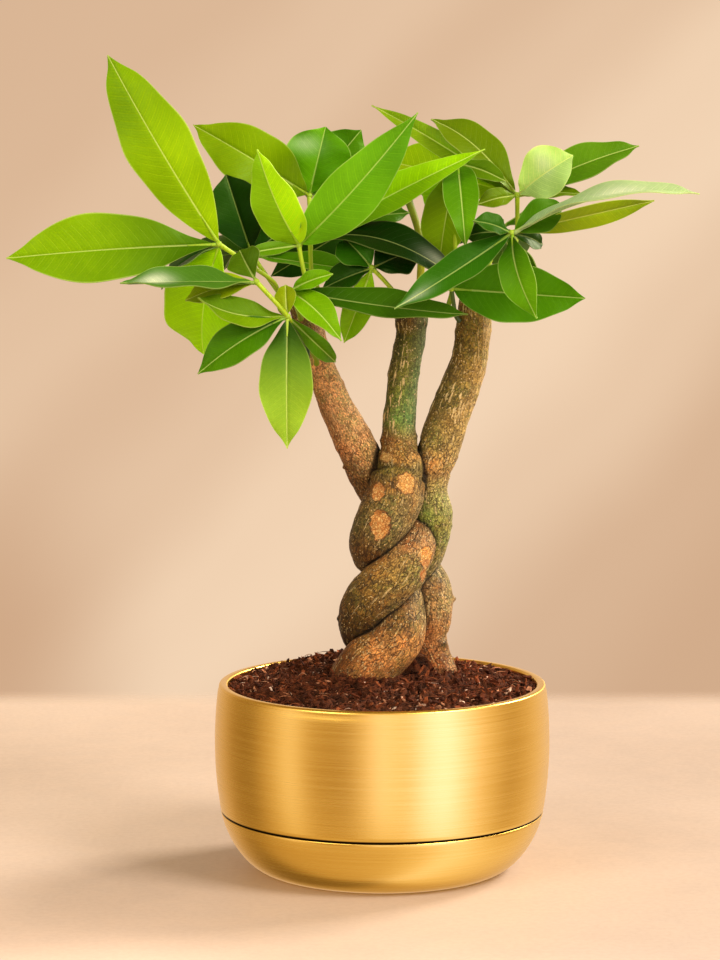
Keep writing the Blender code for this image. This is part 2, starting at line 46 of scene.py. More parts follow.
# Pot
POT_DIAMETER = 160.0
POT_HEIGHT = 90.0
SEAM_HEIGHT = 28.4
WIDEST_HEIGHT = 61.0
RIM_DRAW_IN = 2.0
SEAM_DRAW_IN = 2.9
FOOT_RADIUS = 53.0
RIM_WIDTH = 4.4
RIM_SQUARENESS = 0.66
WALL = 2.2
DISH_WALL = 1.8
FLOOR_HEIGHT = 8.0
DRAIN_RADIUS = 6.0
GAP = 0.3
FOOT_FULLNESS = 1.35
LIP_EASE = 0.7
ROLLED_FROM = 76.0
POT_STEPS = 224
SEAM_LINE = 28.75

# Soil
SOIL_EDGE_HEIGHT = 86.3
SOIL_MOUND = 6.0
SOIL_LUMPS = 1.1
SOIL_RADIUS = 76.0
SOIL_CALM_EDGE = 12.0
SOIL_WALL_HEIGHTS = (16, 26, 46, 66)
SOIL_STEPS = 240
SOIL_BACK_RISE = 3.4
BACK_RISE_AT = -12.0
BACK_RISE_WIDTH = 34.0
HEAP_AT = (17.0, -5.0)
HEAP_WIDTH = 6.5
HEAP_HEIGHT = 12.0
SOIL_RINGS = 96
SOIL_SEED = 11
CHIPS = 4600
FIBRES = 4600
FIBRE_LIMIT = 74.5
FIBRE_TAPER = (0.6, 1, 1, 1, 0.8, 0.35)
FIBRE_SIDES = 3

# Trunks: each stop is (x, y, z, radius) of the strand's centre, from its pruned top down to its root
TRUNKS = {
    "trunk_left": [
        (-38, 0, 272, 6.6), (-35, 0, 259, 6.8), (-31, 0, 245, 7.0), (-23, 0, 225, 7.5),
        (-17, 0, 213, 8.4), (-11, 1, 201, 9.2), (-6, 5, 190, 10.2), (-1, 10, 181, 10.8),
        (6, 12, 173, 11.2), (12, 8, 166, 11.6), (14, 1, 160, 12.0), (12, -6, 153, 12.3),
        (7, -10, 145, 12.6), (0, -11, 137, 12.6), (-7, -8, 128, 12.4), (-9, -2, 120, 12.0),
        (-8, 5, 113, 11.6), (-3, 11, 106, 11.2), (3, 14, 98, 10.8), (4, 15, 88, 9.5), (4, 15, 74, 5.0),
    ],
    "trunk_middle": [
        (14, 0, 269, 7.4), (13, 0, 254, 7.0), (10, 0, 235, 7.2), (8, 0, 215, 7.8),
        (8, 0, 206, 9.0), (8, -2, 199, 11.4), (8, -6, 191, 13.0), (6, -9, 181, 13.6),
        (1, -9, 170, 13.4), (-3, -6, 160, 12.6), (-3, 1, 153, 12.0), (2, 8, 148, 11.6),
        (10, 12, 144, 11.6), (17, 11, 139, 12.0), (21, 8, 132, 12.4), (21, 5, 122, 12.2),
        (20, 4, 112, 11.0), (23, 3, 102, 9.6), (28, 2, 92, 8.6), (32, 1, 83, 7.0), (34, 1, 74, 5.0),
    ],
    "trunk_right": [
        (44, 0, 272, 8.0), (43, 0, 260, 8.3), (41, 0, 244, 8.8), (38, 0, 235, 9.2),
        (34, 0, 225, 9.4), (30, 0, 213, 9.8), (26, 0, 202, 10.0), (22, 1, 190, 10.2),
        (20, 3, 180, 11.4), (21, 5, 170, 12.2), (20, 6, 160, 12.0), (17, 5, 151, 11.6),
        (12, 4, 142, 11.4), (9, 2, 134, 11.4), (9, -3, 126, 12.0), (8, -9, 117, 12.6),
        (4, -11, 110, 13.2), (-4, -11, 102, 14.2), (-9, -9, 95, 14.8), (-13, -8, 87, 13.6),
        (-15, -7, 74, 8.0),
    ],
}
STRAND_GAP = 0.8
STEEPEST_STRETCH = 1.5
BARK_GAIN = 1.3
BRANCHES_FROM = 203.0
SOIL_LINE = 91.0
BARK_SIDES = 84
BARK_STEP = 0.7
CAP_SHARES = (0.9, 0.72, 0.5, 0.28, 0.08)
CAP_DEPTH = 0.9

# Base colours of the bark by height, as (height, colour). BARK_GAIN brightens them all.
BARK_TONES = {
    "trunk_left": [
        (272, (120, 88, 52)), (256, (146, 104, 60)), (240, (216, 160, 108)), (222, (186, 138, 94)),
        (212, (178, 132, 88)), (200, (198, 142, 92)), (188, (140, 96, 56)), (170, (120, 84, 48)),
        (158, (150, 108, 62)), (146, (146, 118, 58)), (134, (124, 98, 42)), (122, (112, 78, 34)),
        (108, (96, 66, 30)), (74, (90, 60, 30)),
    ],
    "trunk_middle": [
        (270, (108, 68, 36)), (262, (94, 72, 18)), (254, (84, 80, 14)), (236, (106, 104, 36)),
        (215, (108, 132, 64)), (208, (146, 102, 54)), (201, (168, 122, 60)), (195, (120, 106, 46)),
        (186, (130, 96, 44)), (170, (130, 114, 66)), (156, (106, 78, 34)), (140, (126, 94, 50)),
        (128, (156, 114, 70)), (116, (164, 110, 60)), (104, (146, 94, 52)),
        (92, (138, 82, 44)), (74, (104, 62, 34)),
    ],
    "trunk_right": [
        (272, (150, 114, 48)), (250, (136, 110, 48)), (225, (116, 96, 44)), (206, (154, 130, 70)),
        (192, (176, 134, 78)), (182, (152, 144, 82)), (170, (118, 130, 54)), (156, (120, 124, 46)),
        (144, (110, 92, 44)), (128, (116, 82, 38)), (120, (128, 86, 42)), (112, (190, 132, 72)),
        (100, (178, 120, 66)), (88, (150, 92, 50)), (74, (96, 56, 30)),
    ],
}

# Painted light on the right-hand side of each branch: its colour, and how much
LIT_SIDES = {
    "trunk_left": ((228, 178, 126), 0.55), "trunk_middle": ((118, 136, 88), 0.8),
    "trunk_right": ((216, 180, 112), 0.6),
}

# The same for the braid below the branches, and the colour of the pruned tops
LIT_BRAID = (186, 172, 120)
CAP_TONE = (150, 108, 66)

# Patches where bark has rubbed off to orange: centre, half width, half height and colour
SCARS = (
    ((11.0, -19.0, 187.8), 4.5, 4.9, (236, 174, 92)),
    ((-2.6, -20.5, 184.2), 3.0, 4.7, (214, 140, 70)),
    ((-1.2, -22.0, 168.8), 4.7, 7.2, (232, 162, 84)),
    ((21.0, -15.0, 152.3), 3.0, 5.2, (240, 164, 72)),
    ((20.0, -16.0, 142.0), 2.2, 5.0, (190, 116, 52)),
    ((2.0, -9.5, 199.5), 4.0, 2.8, (206, 168, 96)),
)

# Small knobs on the bark: place, width and how far each stands out
NUBS = (
    ((-17.0, -2.0, 194.0), 1.3, 2.2),
    ((-21.5, -6.0, 121.5), 1.2, 1.4),
    ((33.5, 6.0, 129.0), 1.3, 1.9),
    ((28.5, -2.0, 108.5), 2.0, 2.4),
    ((33.0, 6.0, 164.0), 1.6, 0.7),
    ((-26.0, -7.0, 226.0), 2.6, 0.8),
    ((-24.0, -7.0, 216.0), 2.2, 0.7),
    ((33.0, -9.0, 216.0), 2.4, 0.6),
)

# Where the topmost lobe folds over the middle branch's collar: its centre, its height there, and how far it
# drops 15 mm to the left and to the right of that
CREST = (7.0, 196.6, 5.2, 10.5)

# Heights of the wrinkled rings round each branch, with how tall and how proud each is
RINGS = {
    "trunk_left": ((203.0, 3.0, 0.5), (233.0, 1.4, 0.35), (246.0, 1.4, 0.4), (257.0, 1.6, 0.45)),
    "trunk_middle": ((207.0, 2.4, 0.7), (202.5, 1.2, -0.5), (238.0, 1.2, 0.3), (262.0, 3.0, 0.6)),
    "trunk_right": ((196.0, 3.4, 0.6), (190.0, 1.4, -0.5), (228.0, 1.5, 0.3), (258.0, 1.5, 0.35)),
}

# Leaves: lengths and shares as in the solids, then the finer blade of the scene
BLADE_ARCH = 0.10
FOLD = 0.22
WAVE = 0.035
PETIOLE_RADIUS = 1.3
PETIOLE_STEP = 10.0
HUB_RADIUS = 1.9
FOOT_SINK = 1.1
STALK_SLIMNESS = 0.78
FOOT_FLARE = 1.35
WIDEST = 0.53
TAPER = 0.8
WAVE_STATIONS = (0.0, 0.13, 0.32, 0.53, 0.74, 0.90, 1.0)
LEAF_THICKNESS = 0.42
BLADE_COLUMNS = 12
STALK_SIDES = 14
RIB_SIDES = 10
RIB_SHARE = 0.14
RIB_STEPS = 12
HUB_STEPS = 9
BLADE_STEP = 1.05
BLADE_ROWS = (26, 110)
VEIN_PAIRS = 19
VEIN_SPACING = (3.2, 4.8)

# How the three colours of light sink where a leaflet has painted shade, and the size of a painted highlight's
# silvery patch
SHADE_HUE = (1.25, 0.9, 1.1)
SHEEN = (228, 240, 216)
HIGHLIGHT_LENGTH = 0.12
HIGHLIGHT_WIDTH = 0.45

# Greens that leaflets name. The others have theirs in the table.
KHAKI = (148, 172, 4)
BRIGHT = (126, 188, 2)
OLIVE = (114, 146, 3)
MID = (74, 130, 3)
DEEP = (44, 90, 3)
DARK = (28, 74, 2)
INKY = (16, 56, 1)
PALE = (156, 196, 24)
TEAL = (60, 122, 44)
SUNNY = (180, 236, 4)

# What a leaflet has where its row names nothing else
PLAIN_BLADE = {"arch": BLADE_ARCH, "fold": FOLD, "widest": WIDEST, "taper": TAPER, "tint": MID, "wave": 1.0,
               "lean": 0.0, "fade": 0.0, "bloom": (0.5, 0.0, 0.0)}


def blade(tip, width, tilt, turn=0, arch=BLADE_ARCH, fold=FOLD, **others):
    """One leaflet: where its tip is, how wide it is, and where its upper face looks, how it arches and folds.
    The others: where along its length it is widest, how finely its ends are drawn out (taper), its green,
    and how much its edges wave. Its half on the side of its upper face's left, seen from the foot, has
    painted light by the lean (painted shade where the lean is below 0), its foot has painted shade by the
    fade (or its tip, where the fade is below 0), and a painted highlight, a silvery patch, can be laid on it:
    how far along, how far aside, how strong."""
    return {**PLAIN_BLADE, "tip": tip, "width": width, "tilt": tilt, "turn": turn, "arch": arch, "fold": fold,
            **others}


LEAVES = {
    "leaf_left_outer": {
        "trunk": "trunk_left", "foot": (266, 185),
        "petiole": [(-50, -9, 280), (-59, -16, 288), (-76, -22, 300)],
        "crowns": [((-76, -22, 300), [
            blade((-128, -8, 387), 32, 80, -15, 0.06, -0.10, widest=0.5,
                  tint=(166, 208, 2), lean=-0.06, fade=-0.28),
            blade((-174, -30, 294), 34, 68, -10, 0.03, widest=0.56, taper=0.95,
                  tint=(142, 188, 2), lean=-0.1, fade=0.66),
            blade((-104, -4, 278), 20, 30, -20, tint=TEAL),
            blade((-85, 10, 246), 40, 75, -20, tint=(186, 242, 2)),
        ])],
    },
    "leaf_left_front": {
        "trunk": "trunk_left", "foot": (243, 265), "petiole": [(-44, -42, 268), (-58, -45, 284)],
        "crowns": [((-44, -42, 268), [
            blade((-84, -60, 278), 18, 50, -20, -0.12, taper=0.95, tint=(116, 160, 5), lean=0.16),
            blade((-85, -48, 242), 20, 75, -25, taper=0.95, tint=(88, 148, 3), lean=0.1, fade=0.6),
            blade((-44, -52, 208), 25, 90, -5, 0.05, widest=0.5, taper=0.95,
                  tint=(172, 212, 58), lean=0.03, fade=0.92),
            blade((-35, -17, 237), 6, 60, 60, taper=0.95, tint=DEEP),
            blade((-45, -34, 282), 10, 70, -10, tint=KHAKI),
            blade((-22, -10, 244), 9, 85, 0, tint=(100, 160, 4)),
        ]), ((-58, -45, 284), [
            blade((-119, -66, 285), 24, 26, -20, 0.01, taper=0.95,
                  tint=(82, 136, 34), bloom=(0.74, -0.1, 0.85)),
            blade((-91, -38, 275), 14, 60, -30, tint=(156, 186, 6)),
            blade((-66, -36, 298), 17, 100, 0, widest=0.62, taper=0.95, tint=(86, 124, 4)),
        ])],
    },
    "leaf_left_inner": {
        "trunk": "trunk_left", "foot": (264, 255), "petiole": [(-43, -28, 279)],
        "crowns": [((-43, -28, 279), [
            blade((-19, -46, 257), 16, 60, 20, widest=0.42, taper=0.95, tint=(126, 184, 4)),
            blade((-23, -34, 287), 9, 60, 0, tint=BRIGHT),
            blade((39, -42, 269), 20, 40, 10, -0.02, taper=0.95, tint=(66, 114, 8), fade=0.4),
        ])],
    },
    "leaf_left_upright": {
        "trunk": "trunk_left", "foot": (268, 310), "petiole": [(-36, -16, 284), (-39, -16, 299)],
        "crowns": [((-39, -16, 299), [
            blade((-58, -28, 344), 23, 90, -20, widest=0.38, taper=0.85,
                  tint=(184, 232, 20), lean=-0.28, fade=-0.15),
            blade((16, -36, 361), 26, 80, 20, widest=0.42, taper=0.95,
                  tint=(132, 204, 24), lean=0.1, fade=-0.4),
            blade((-64, -30, 296), 7, 70, -10, 0.04, taper=0.95, tint=(104, 154, 8)),
        ])],
    },
    "leaf_left_crossing": {
        "trunk": "trunk_left", "foot": (266, 10), "petiole": [(-33, 0, 284), (-34, 2, 301)],
        "crowns": [((-34, 2, 301), [
            blade((47, -26, 344), 18, 60, 10, 0.03, widest=0.42, taper=1.0,
                  tint=(160, 218, 4), lean=0.16, fade=0.5),
            blade((34, -34, 285), 22, 40, 10, 0.15, tint=(7, 46, 1), bloom=(0.92, 0.3, 0.5)),
            blade((13, 14, 313), 18, 50, 0, tint=MID),
        ])],
    },
    "leaf_left_back": {
        "trunk": "trunk_left", "foot": (266, 75), "petiole": [(-34, 28, 292), (-35, 38, 320)],
        "crowns": [((-35, 38, 320), [
            blade((-90, 28, 354), 29, 75, -15, 0.22, widest=0.5, taper=0.9,
                  tint=(150, 188, 4), lean=-0.08, fade=0.3, wave=1.5),
            blade((-27, 34, 353), 33, 88, 0, 0.06, widest=0.58,
                  tint=(112, 182, 10), lean=0.2, bloom=(0.7, 0.5, 0.4)),
            blade((-10, 54, 351), 28, 80, 15, -0.06, tint=(88, 150, 4), lean=-0.1),
            blade((-58, 88, 330), 24, 20, 160, tint=MID),
            blade((-8, 92, 318), 24, 20, 190, tint=BRIGHT),
        ])],
    },
    "leaf_left_dark": {
        "trunk": "trunk_left", "foot": (258, 110), "petiole": [(-50, 14, 276), (-62, 16, 293)],
        "crowns": [((-62, 16, 293), [
            blade((-74, 12, 331), 27, 85, 0, widest=0.58, tint=(28, 72, 4), lean=0.45, fade=0.5),
            blade((-39, 24, 309), 18, 70, 0, tint=DARK),
            blade((-4, 12, 285), 17, 30, 10, 0.0, taper=0.95, tint=(96, 160, 4)),
            blade((-98, 44, 289), 22, 30, -60, tint=DEEP),
            blade((-78, 76, 282), 22, 20, 180, tint=DEEP),
        ])],
    },
    "leaf_middle_front": {
        "trunk": "trunk_middle", "foot": (265, 215), "petiole": [(7, -16, 275), (-5, -22, 289)],
        "crowns": [((-5, -22, 289), [
            blade((-18, -8, 302), 20, 60, -10, tint=(56, 122, 10)),
            blade((15, -14, 297), 24, 50, 10, 0.04, tint=INKY),
            blade((-28, -14, 279), 18, 50, -20, 0.04, tint=DARK),
            blade((-18, -20, 254), 14, 85, 10, 0.02, tint=(156, 212, 8)),
        ])],
    },
    "shoot_middle": {
        "trunk": "trunk_middle", "foot": (262, 60), "stem": 2.3, "stalk": ((216, 226, 40), (56, 88, 12)),
        "petiole": [(18, 11, 276), (18, 10, 300), (12, 40, 320)],
        "crowns": [((12, 40, 320), [
            blade((-18, 96, 332), 24, 20, 170, tint=MID),
            blade((40, 96, 322), 24, 20, 200, tint=MID),
            blade((-54, 58, 280), 24, 75, 10, 0.04, tint=DARK),
            blade((44, 62, 330), 22, 30, 200, tint=MID),
        ])],
    },
    "leaf_right_front": {
        "trunk": "trunk_right", "foot": (266, 325),
        "petiole": [(62, -10, 284), (62, -14, 300), (59, -38, 306)],
        "crowns": [((59, -38, 306), [
            blade((5, -62, 273), 17, 65, -15, -0.02, widest=0.45, taper=0.95,
                  tint=(58, 124, 10), lean=0.1, fade=0.3, bloom=(0.84, 0.1, 0.5)),
            blade((70, -56, 268), 17, 85, -25, 0.18, taper=0.95, tint=(112, 176, 8), lean=0.12, fade=0.78),
            blade((41, -46, 312), 12, 50, 0, taper=0.95, tint=(48, 104, 2)),
            blade((39, -24, 304), 12, 60, 0, tint=DARK),
            # This leaflet's pale silvery green is partly its own colour and partly painted highlight
            blade((143, -60, 325), 19, 18, 0, 0.10, taper=0.95,
                  tint=(190, 218, 164), fade=0.3, bloom=(0.6, 0.0, 1.0)),
            blade((126, -20, 320), 12, 115, 0, 0.0, tint=(164, 188, 10), fade=-0.2),
            blade((74, -26, 300), 12, 60, 10, tint=DEEP),
            blade((83, -30, 319), 16, 75, 10, taper=0.95, tint=MID),
        ])],
    },
    "leaf_right_low": {
        "trunk": "trunk_right", "foot": (263, 224), "petiole": [(32, -18, 279)],
        "stalk": ((64, 78, 20), (70, 104, 14)),
        "crowns": [((32, -18, 279), [
            blade((94, -24, 275), 28, 85, 5, 0.0, widest=0.44, tint=(92, 160, 2), lean=0.06, fade=0.35),
        ])],
    },
    "leaf_right_top": {
        "trunk": "trunk_right", "foot": (266, 30), "petiole": [(61, 6, 286), (63, -2, 304), (63, -6, 322)],
        "crowns": [((63, -6, 322), [
            blade((23, 16, 357), 20, 52, 10, 0.14, widest=0.5, taper=0.95, tint=OLIVE),
            # This leaflet's pale green is partly its own colour and partly painted highlight
            blade((88, -20, 341), 25, 75, -10, widest=0.58,
                  tint=(206, 240, 150), lean=0.12, bloom=(0.6, 0.3, 0.6)),
            blade((93, -14, 323), 10, 35, 0, 0.05, taper=0.95, tint=OLIVE),
            blade((44, -14, 318), 10, 60, 0, tint=OLIVE),
            blade((120, -2, 345), 20, 50, 0, 0.06, taper=0.95, tint=(96, 148, 16), lean=0.06),
            blade((-5, 44, 363), 11, 80, 0, widest=0.42, taper=1.0, tint=PALE),
            blade((0, 42, 337), 27, 75, 0, 0.04, tint=(190, 224, 8)),
        ])],
    },
    "leaf_right_inner": {
        "trunk": "trunk_right", "foot": (266, 170), "petiole": [(34, -2, 284), (34, -6, 310), (35, -8, 337)],
        "crowns": [((35, -8, 337), [
            blade((38, -36, 299), 17, 85, 0, widest=0.38, taper=0.9, tint=(104, 168, 4), lean=0.1, fade=0.35),
            blade((57, -18, 329), 10, 60, 0, tint=(96, 138, 4)),
            blade((27, 4, 291), 22, 80, -10, tint=(142, 184, 6), fade=0.1),
            blade((20, 8, 317), 16, 70, -10, tint=SUNNY, fade=0.2),
        ])],
    },
    "leaf_right_back": {
        "trunk": "trunk_right", "foot": (264, 70), "petiole": [(50, 24, 284), (58, 38, 304)],
        "crowns": [((58, 38, 304), [
            blade((78, 72, 262), 20, 20, 120, 0.0, tint=MID),
            blade((62, 108, 274), 24, 20, 160, tint=MID),
            blade((34, 92, 292), 24, 20, 190, tint=DEEP),
            blade((84, 44, 334), 22, 60, 100, tint=MID),
        ])],
    },
}

STALK_GREENS = ((122, 148, 14), (172, 206, 24))

LEAF_SLOTS = {
    "leaf_left_outer": "leaf_light", "leaf_left_front": "leaf_light", "leaf_left_upright": "leaf_light",
    "leaf_left_dark": "leaf_dark", "leaf_middle_front": "leaf_dark", "shoot_middle": "leaf_dark",
    "leaf_right_back": "leaf_dark",
}


# Numbers and curves


def unit(vector):
    vector = np.asarray(vector, float)
    return vector / np.linalg.norm(vector, axis=-1, keepdims=True)


def linear(colour):
    """A colour as the screen shows it, 0 to 255, as light."""
    share = np.asarray(colour, float) / 255
    return np.where(share <= 0.04045, share / 12.92, ((share + 0.055) / 1.055) ** 2.4)


def smooth_curve(points, spacing):
    """Points about this far apart on a smooth (Catmull-Rom) curve through the given rows of numbers."""
    rows = np.asarray(points, float)
    ends = np.vstack([2 * rows[0] - rows[1], rows, 2 * rows[-1] - rows[-2]])
    curve = []
    for before, start, stop, after in zip(ends, ends[1:], ends[2:], ends[3:]):
        steps = max(1, math.ceil(np.linalg.norm((stop - start)[:3]) / spacing))
        for t in np.arange(steps) / steps:
            curve.append(0.5 * (
                2 * start + (stop - before) * t
                + (2 * before - 5 * start + 4 * stop - after) * t**2
                + (3 * start - before - 3 * stop + after) * t**3
            ))
    return np.array(curve + [rows[-1]])


def step(values, low, high):
    """0 below low, 1 above high, and smooth between."""
    t = np.clip((values - low) / (high - low), 0, 1)
    return t * t * (3 - 2 * t)


def hump(values, width):
    """1 at 0, and falling smoothly to 0 on both sides."""
    return np.exp(-(values / width) ** 2)


def fading(values, reach):
    """1 up to 0, and falling off above it."""
    return np.exp(-np.clip(values, 0, None) / reach)


def circle(count):
    """Points all round a circle of radius 1."""
    angles = np.arange(count) * 2 * math.pi / count
    return np.column_stack([np.cos(angles), np.sin(angles)])


def around(count, across, up):
    """Directions all round each point of a line, from two directions across it."""
    rim = circle(count)
    return rim[:, :1] * across[..., None, :] + rim[:, 1:] * up[..., None, :]


def clouds(points, scale, seed=0.0, octaves=2):
    """Smooth noise round 0 at each point, with features about this many millimetres across."""
    places = (np.asarray(points, float) / scale + seed).tolist()
    return np.array([noise.fractal(Vector(place), 1.0, 2.0, octaves) for place in places])


def strand_at(name, height):
    """(centre x, centre y, radius, slope in x, slope in y) of a strand at this height."""
    curve = STRANDS[name][::-1]
    here, above, below = ([np.interp(at, curve[:, 2], curve[:, i]) for i in (0, 1, 3)]
                          for at in (height, height + 2, height - 2))
    return (*here, (above[0] - below[0]) / 4, (above[1] - below[1]) / 4)


def strand_radius(name, height, bearing):
    """Distance from the strand's centre to its bark at this height and bearing, as in the solids."""
    x, y, radius, slope_x, slope_y = strand_at(name, height)
    stretch = min(math.hypot(1, slope_x, slope_y), STEEPEST_STRETCH)
    along = math.cos(bearing - math.atan2(slope_y, slope_x))
    reach = radius / math.sqrt(along**2 / stretch**2 + 1 - along**2)
    for other, curve in STRANDS.items():
        if other == name or not curve[-1, 2] <= height <= curve[0, 2]:
            continue
        other_x, other_y, other_radius = strand_at(other, height)[:3]
        apart = math.hypot(other_x - x, other_y - y)
        share = (apart**2 + radius**2 - other_radius**2) / (2 * apart) - STRAND_GAP / 2
        facing = math.cos(bearing - math.atan2(other_y - y, other_x - x))
        if facing > 0.05:
            reach = min(reach, share / facing)
    return reach


STRANDS = {name: smooth_curve(stops, 1.0) for name, stops in TRUNKS.items()}


def bark_point(name, height, bearing):
    x, y, _, slope_x, slope_y = strand_at(name, height)
    outward = np.array([math.cos(bearing), math.sin(bearing), 0.0])
    axis = unit([slope_x, slope_y, 1])
    point = np.array([x, y, height]) + strand_radius(name, height, bearing) * outward
    return point, unit(outward - outward.dot(axis) * axis)


def swept_frames(line):
    """Two directions across a line at each of its points, turning as little as can be."""
    along = unit(np.gradient(line, axis=0))
    side = unit(np.cross(along[0], [0.0, 1.0, 0.0] if abs(along[0][1]) < 0.9 else [1.0, 0.0, 0.0]))
    sides = []
    for direction in along:
        side = unit(side - side.dot(direction) * direction)
        sides.append(side)
    sides = np.array(sides)
    return sides, np.cross(along, sides)


# Meshes


def placed(name, data):
    made = bpy.data.objects.new(name, data)
    bpy.context.scene.collection.objects.link(made)
    return made


def mesh_object(name, points, faces, finish, sharp=None):
    mesh = bpy.data.meshes.new(name)
    mesh.from_pydata((np.asarray(points) * MM).tolist(), [], faces)
    mesh.materials.append(finish)
    mesh.shade_smooth()
    if sharp:
        mesh.set_sharp_from_angle(angle=math.radians(sharp))
    return placed(name, mesh)


def settle(piece, node):
    """Hands the frame a piece that is fixed to the part, in place of this node of the solids."""
    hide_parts(node)
    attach(piece, "root")


def paint(thing, name, values):
    """Keeps a colour, or a row of three numbers, at each point of the mesh for its material to read."""
    values = np.asarray(values, float)
    layer = thing.data.attributes.new(name, "FLOAT_COLOR", "POINT")
    rows = np.ones((len(values), 4))
    rows[:, : values.shape[1]] = values
    layer.data.foreach_set("color", rows.ravel())


def ring_faces(rings, count, start=0, caps=True, closed=False):
    """Faces through rings of equally many points, numbered from start."""
    faces = []
    index = start + np.arange(rings * count).reshape(rings, count)
    following = np.roll(index, -1, axis=0) if closed else index[1:]
    for ring, after in zip(index, following):
        faces += np.stack([ring, np.roll(ring, -1), np.roll(after, -1), after], 1).tolist()
    if caps and not closed:
        faces += [index[0][::-1].tolist(), index[-1].tolist()]
    return faces


def facing_out(points, faces):
    """The faces, turned round if the closed shape that they make is inside out."""
    points = np.asarray(points)
    total = 0.0
    for face in faces:
        if len(face) == 4:
            a, b, c, d = points[face]
            total += np.dot(a, np.cross(b, c)) + np.dot(a, np.cross(c, d))
    return faces if total > 0 else [face[::-1] for face in faces]


def turned(name, profile, finish):
    """A turned shape from its profile of (radius, height). One that starts off the axis is a closed loop."""
    profile = np.asarray(profile, float)
    rim = circle(POT_STEPS)
    rings = [np.column_stack([r * rim, np.full(POT_STEPS, z)]) for r, z in profile]
    closed = profile[0][0] > 0.01
    points = np.concatenate(rings)
    faces = ring_faces(len(rings), POT_STEPS, caps=not closed, closed=closed)
    return mesh_object(name, points, facing_out(points, faces), finish, sharp=50)


def tube(line, radii, sides):
    """Points and faces of a round stem, closed at both ends."""
    across, up = swept_frames(line)
    rings = line[:, None] + np.asarray(radii)[:, None, None] * around(sides, across, up)
    points = rings.reshape(-1, 3)
    return points, facing_out(points, ring_faces(len(line), sides))


# Materials


class Graph:
    """The nodes of one material, or of the world, with a short way to add each kind that is used."""

    def __init__(self, holder):
        holder.use_nodes = True
        self.tree = holder.node_tree
        self.tree.nodes.clear()

    def set(self, socket, value):
        if isinstance(value, bpy.types.NodeSocket):
            self.tree.links.new(value, socket)
        else:
            socket.default_value = value

    def add(self, kind, inputs=None, **settings):
        made = self.tree.nodes.new("ShaderNode" + kind)
        for key, value in settings.items():
            setattr(made, key, value)
        for key, value in (inputs or {}).items():
            self.set(made.inputs[key], value)
        return made

    def mix(self, factor, first, second, blend="MIX"):
        made = self.add("Mix", data_type="RGBA", blend_type=blend)
        self.set(made.inputs[0], factor)
        for index, colour in ((6, first), (7, second)):
            is_socket = isinstance(colour, bpy.types.NodeSocket)
            self.set(made.inputs[index], colour if is_socket else (*colour[:3], 1))
        return made.outputs[2]

    def tone(self, colour, factors):
        """The colour with its red, green and blue multiplied."""
        return self.mix(1.0, colour, factors, "MULTIPLY")

    def blend(self, share, low, high):
        return self.add("Mix", {0: share, 2: low, 3: high}, data_type="FLOAT").outputs[0]

    def shader_mix(self, share, first, second):
        return self.add("MixShader", {0: share, 1: first, 2: second}).outputs[0]

    def ramp(self, value, low, high, to_low=0.0, to_high=1.0):
        inputs = {"Value": value, "From Min": low, "From Max": high, "To Min": to_low, "To Max": to_high}
        return self.add("MapRange", inputs, interpolation_type="SMOOTHSTEP").outputs[0]

    def math(self, kind, first, second=0.0, third=0.0):
        return self.add("Math", {0: first, 1: second, 2: third}, operation=kind).outputs[0]

    def plus(self, first, second):
        return self.math("ADD", first, second)

    def minus(self, first, second):
        return self.math("SUBTRACT", first, second)

    def times(self, first, second):
        return self.math("MULTIPLY", first, second)

    def off(self, value, middle):
        """How far the value is from the middle, to either side."""
        return self.math("ABSOLUTE", self.minus(value, middle))

    def vector(self, kind, first, second):
        return self.add("VectorMath", {0: first, 1: second}, operation=kind).outputs

    def stretched(self, vector, scale):
        return self.add("Mapping", {"Vector": vector, "Scale": scale}).outputs[0]

    def grain(self, vector, scale, detail=2.0, rough=0.5, stretch=None):
        """Noise from 0 to 1. A stretch of (x, y, z) multiplies the coordinates first."""
        vector = self.stretched(vector, stretch) if stretch else vector
        inputs = {"Vector": vector, "Scale": scale, "Detail": detail, "Roughness": rough}
        return self.add("TexNoise", inputs).outputs[0]

    def seams(self, vector, scale=1.0):
        """Distance to the edge of the cell of a cracked pattern."""
        inputs = {"Vector": vector, "Scale": scale}
        return self.add("TexVoronoi", inputs, feature="DISTANCE_TO_EDGE").outputs[0]

    def cells(self, vector, scale=1.0):
        return self.add("TexVoronoi", {"Vector": vector, "Scale": scale}).outputs

    def parts(self, colour):
        return self.add("SeparateColor", {0: colour}).outputs

    def axes(self, vector):
        return self.add("SeparateXYZ", {0: vector}).outputs

    def own(self):
        return self.add("TexCoord").outputs["Object"]

    def kept(self, name):
        """What paint() kept under this name."""
        return self.add("Attribute", attribute_name=name).outputs

    def relief(self, height, strength, distance):
        return self.add("Bump", {"Height": height, "Strength": strength, "Distance": distance}).outputs[0]

    def principled(self, colour, roughness, specular=None, **inputs):
        """A plain surface. Other inputs are given by name, with _ for a space."""
        rows = {"Base Color": colour, "Roughness": roughness}
        if specular is not None:
            rows["Specular IOR Level"] = specular
        rows.update({key.replace("_", " "): value for key, value in inputs.items()})
        return self.add("BsdfPrincipled", rows).outputs[0]

    def finish(self, shader, kind="OutputMaterial"):
        self.add(kind, {"Surface": shader})


def blank(name):
    made = bpy.data.materials.new(name)
    return made, Graph(made)


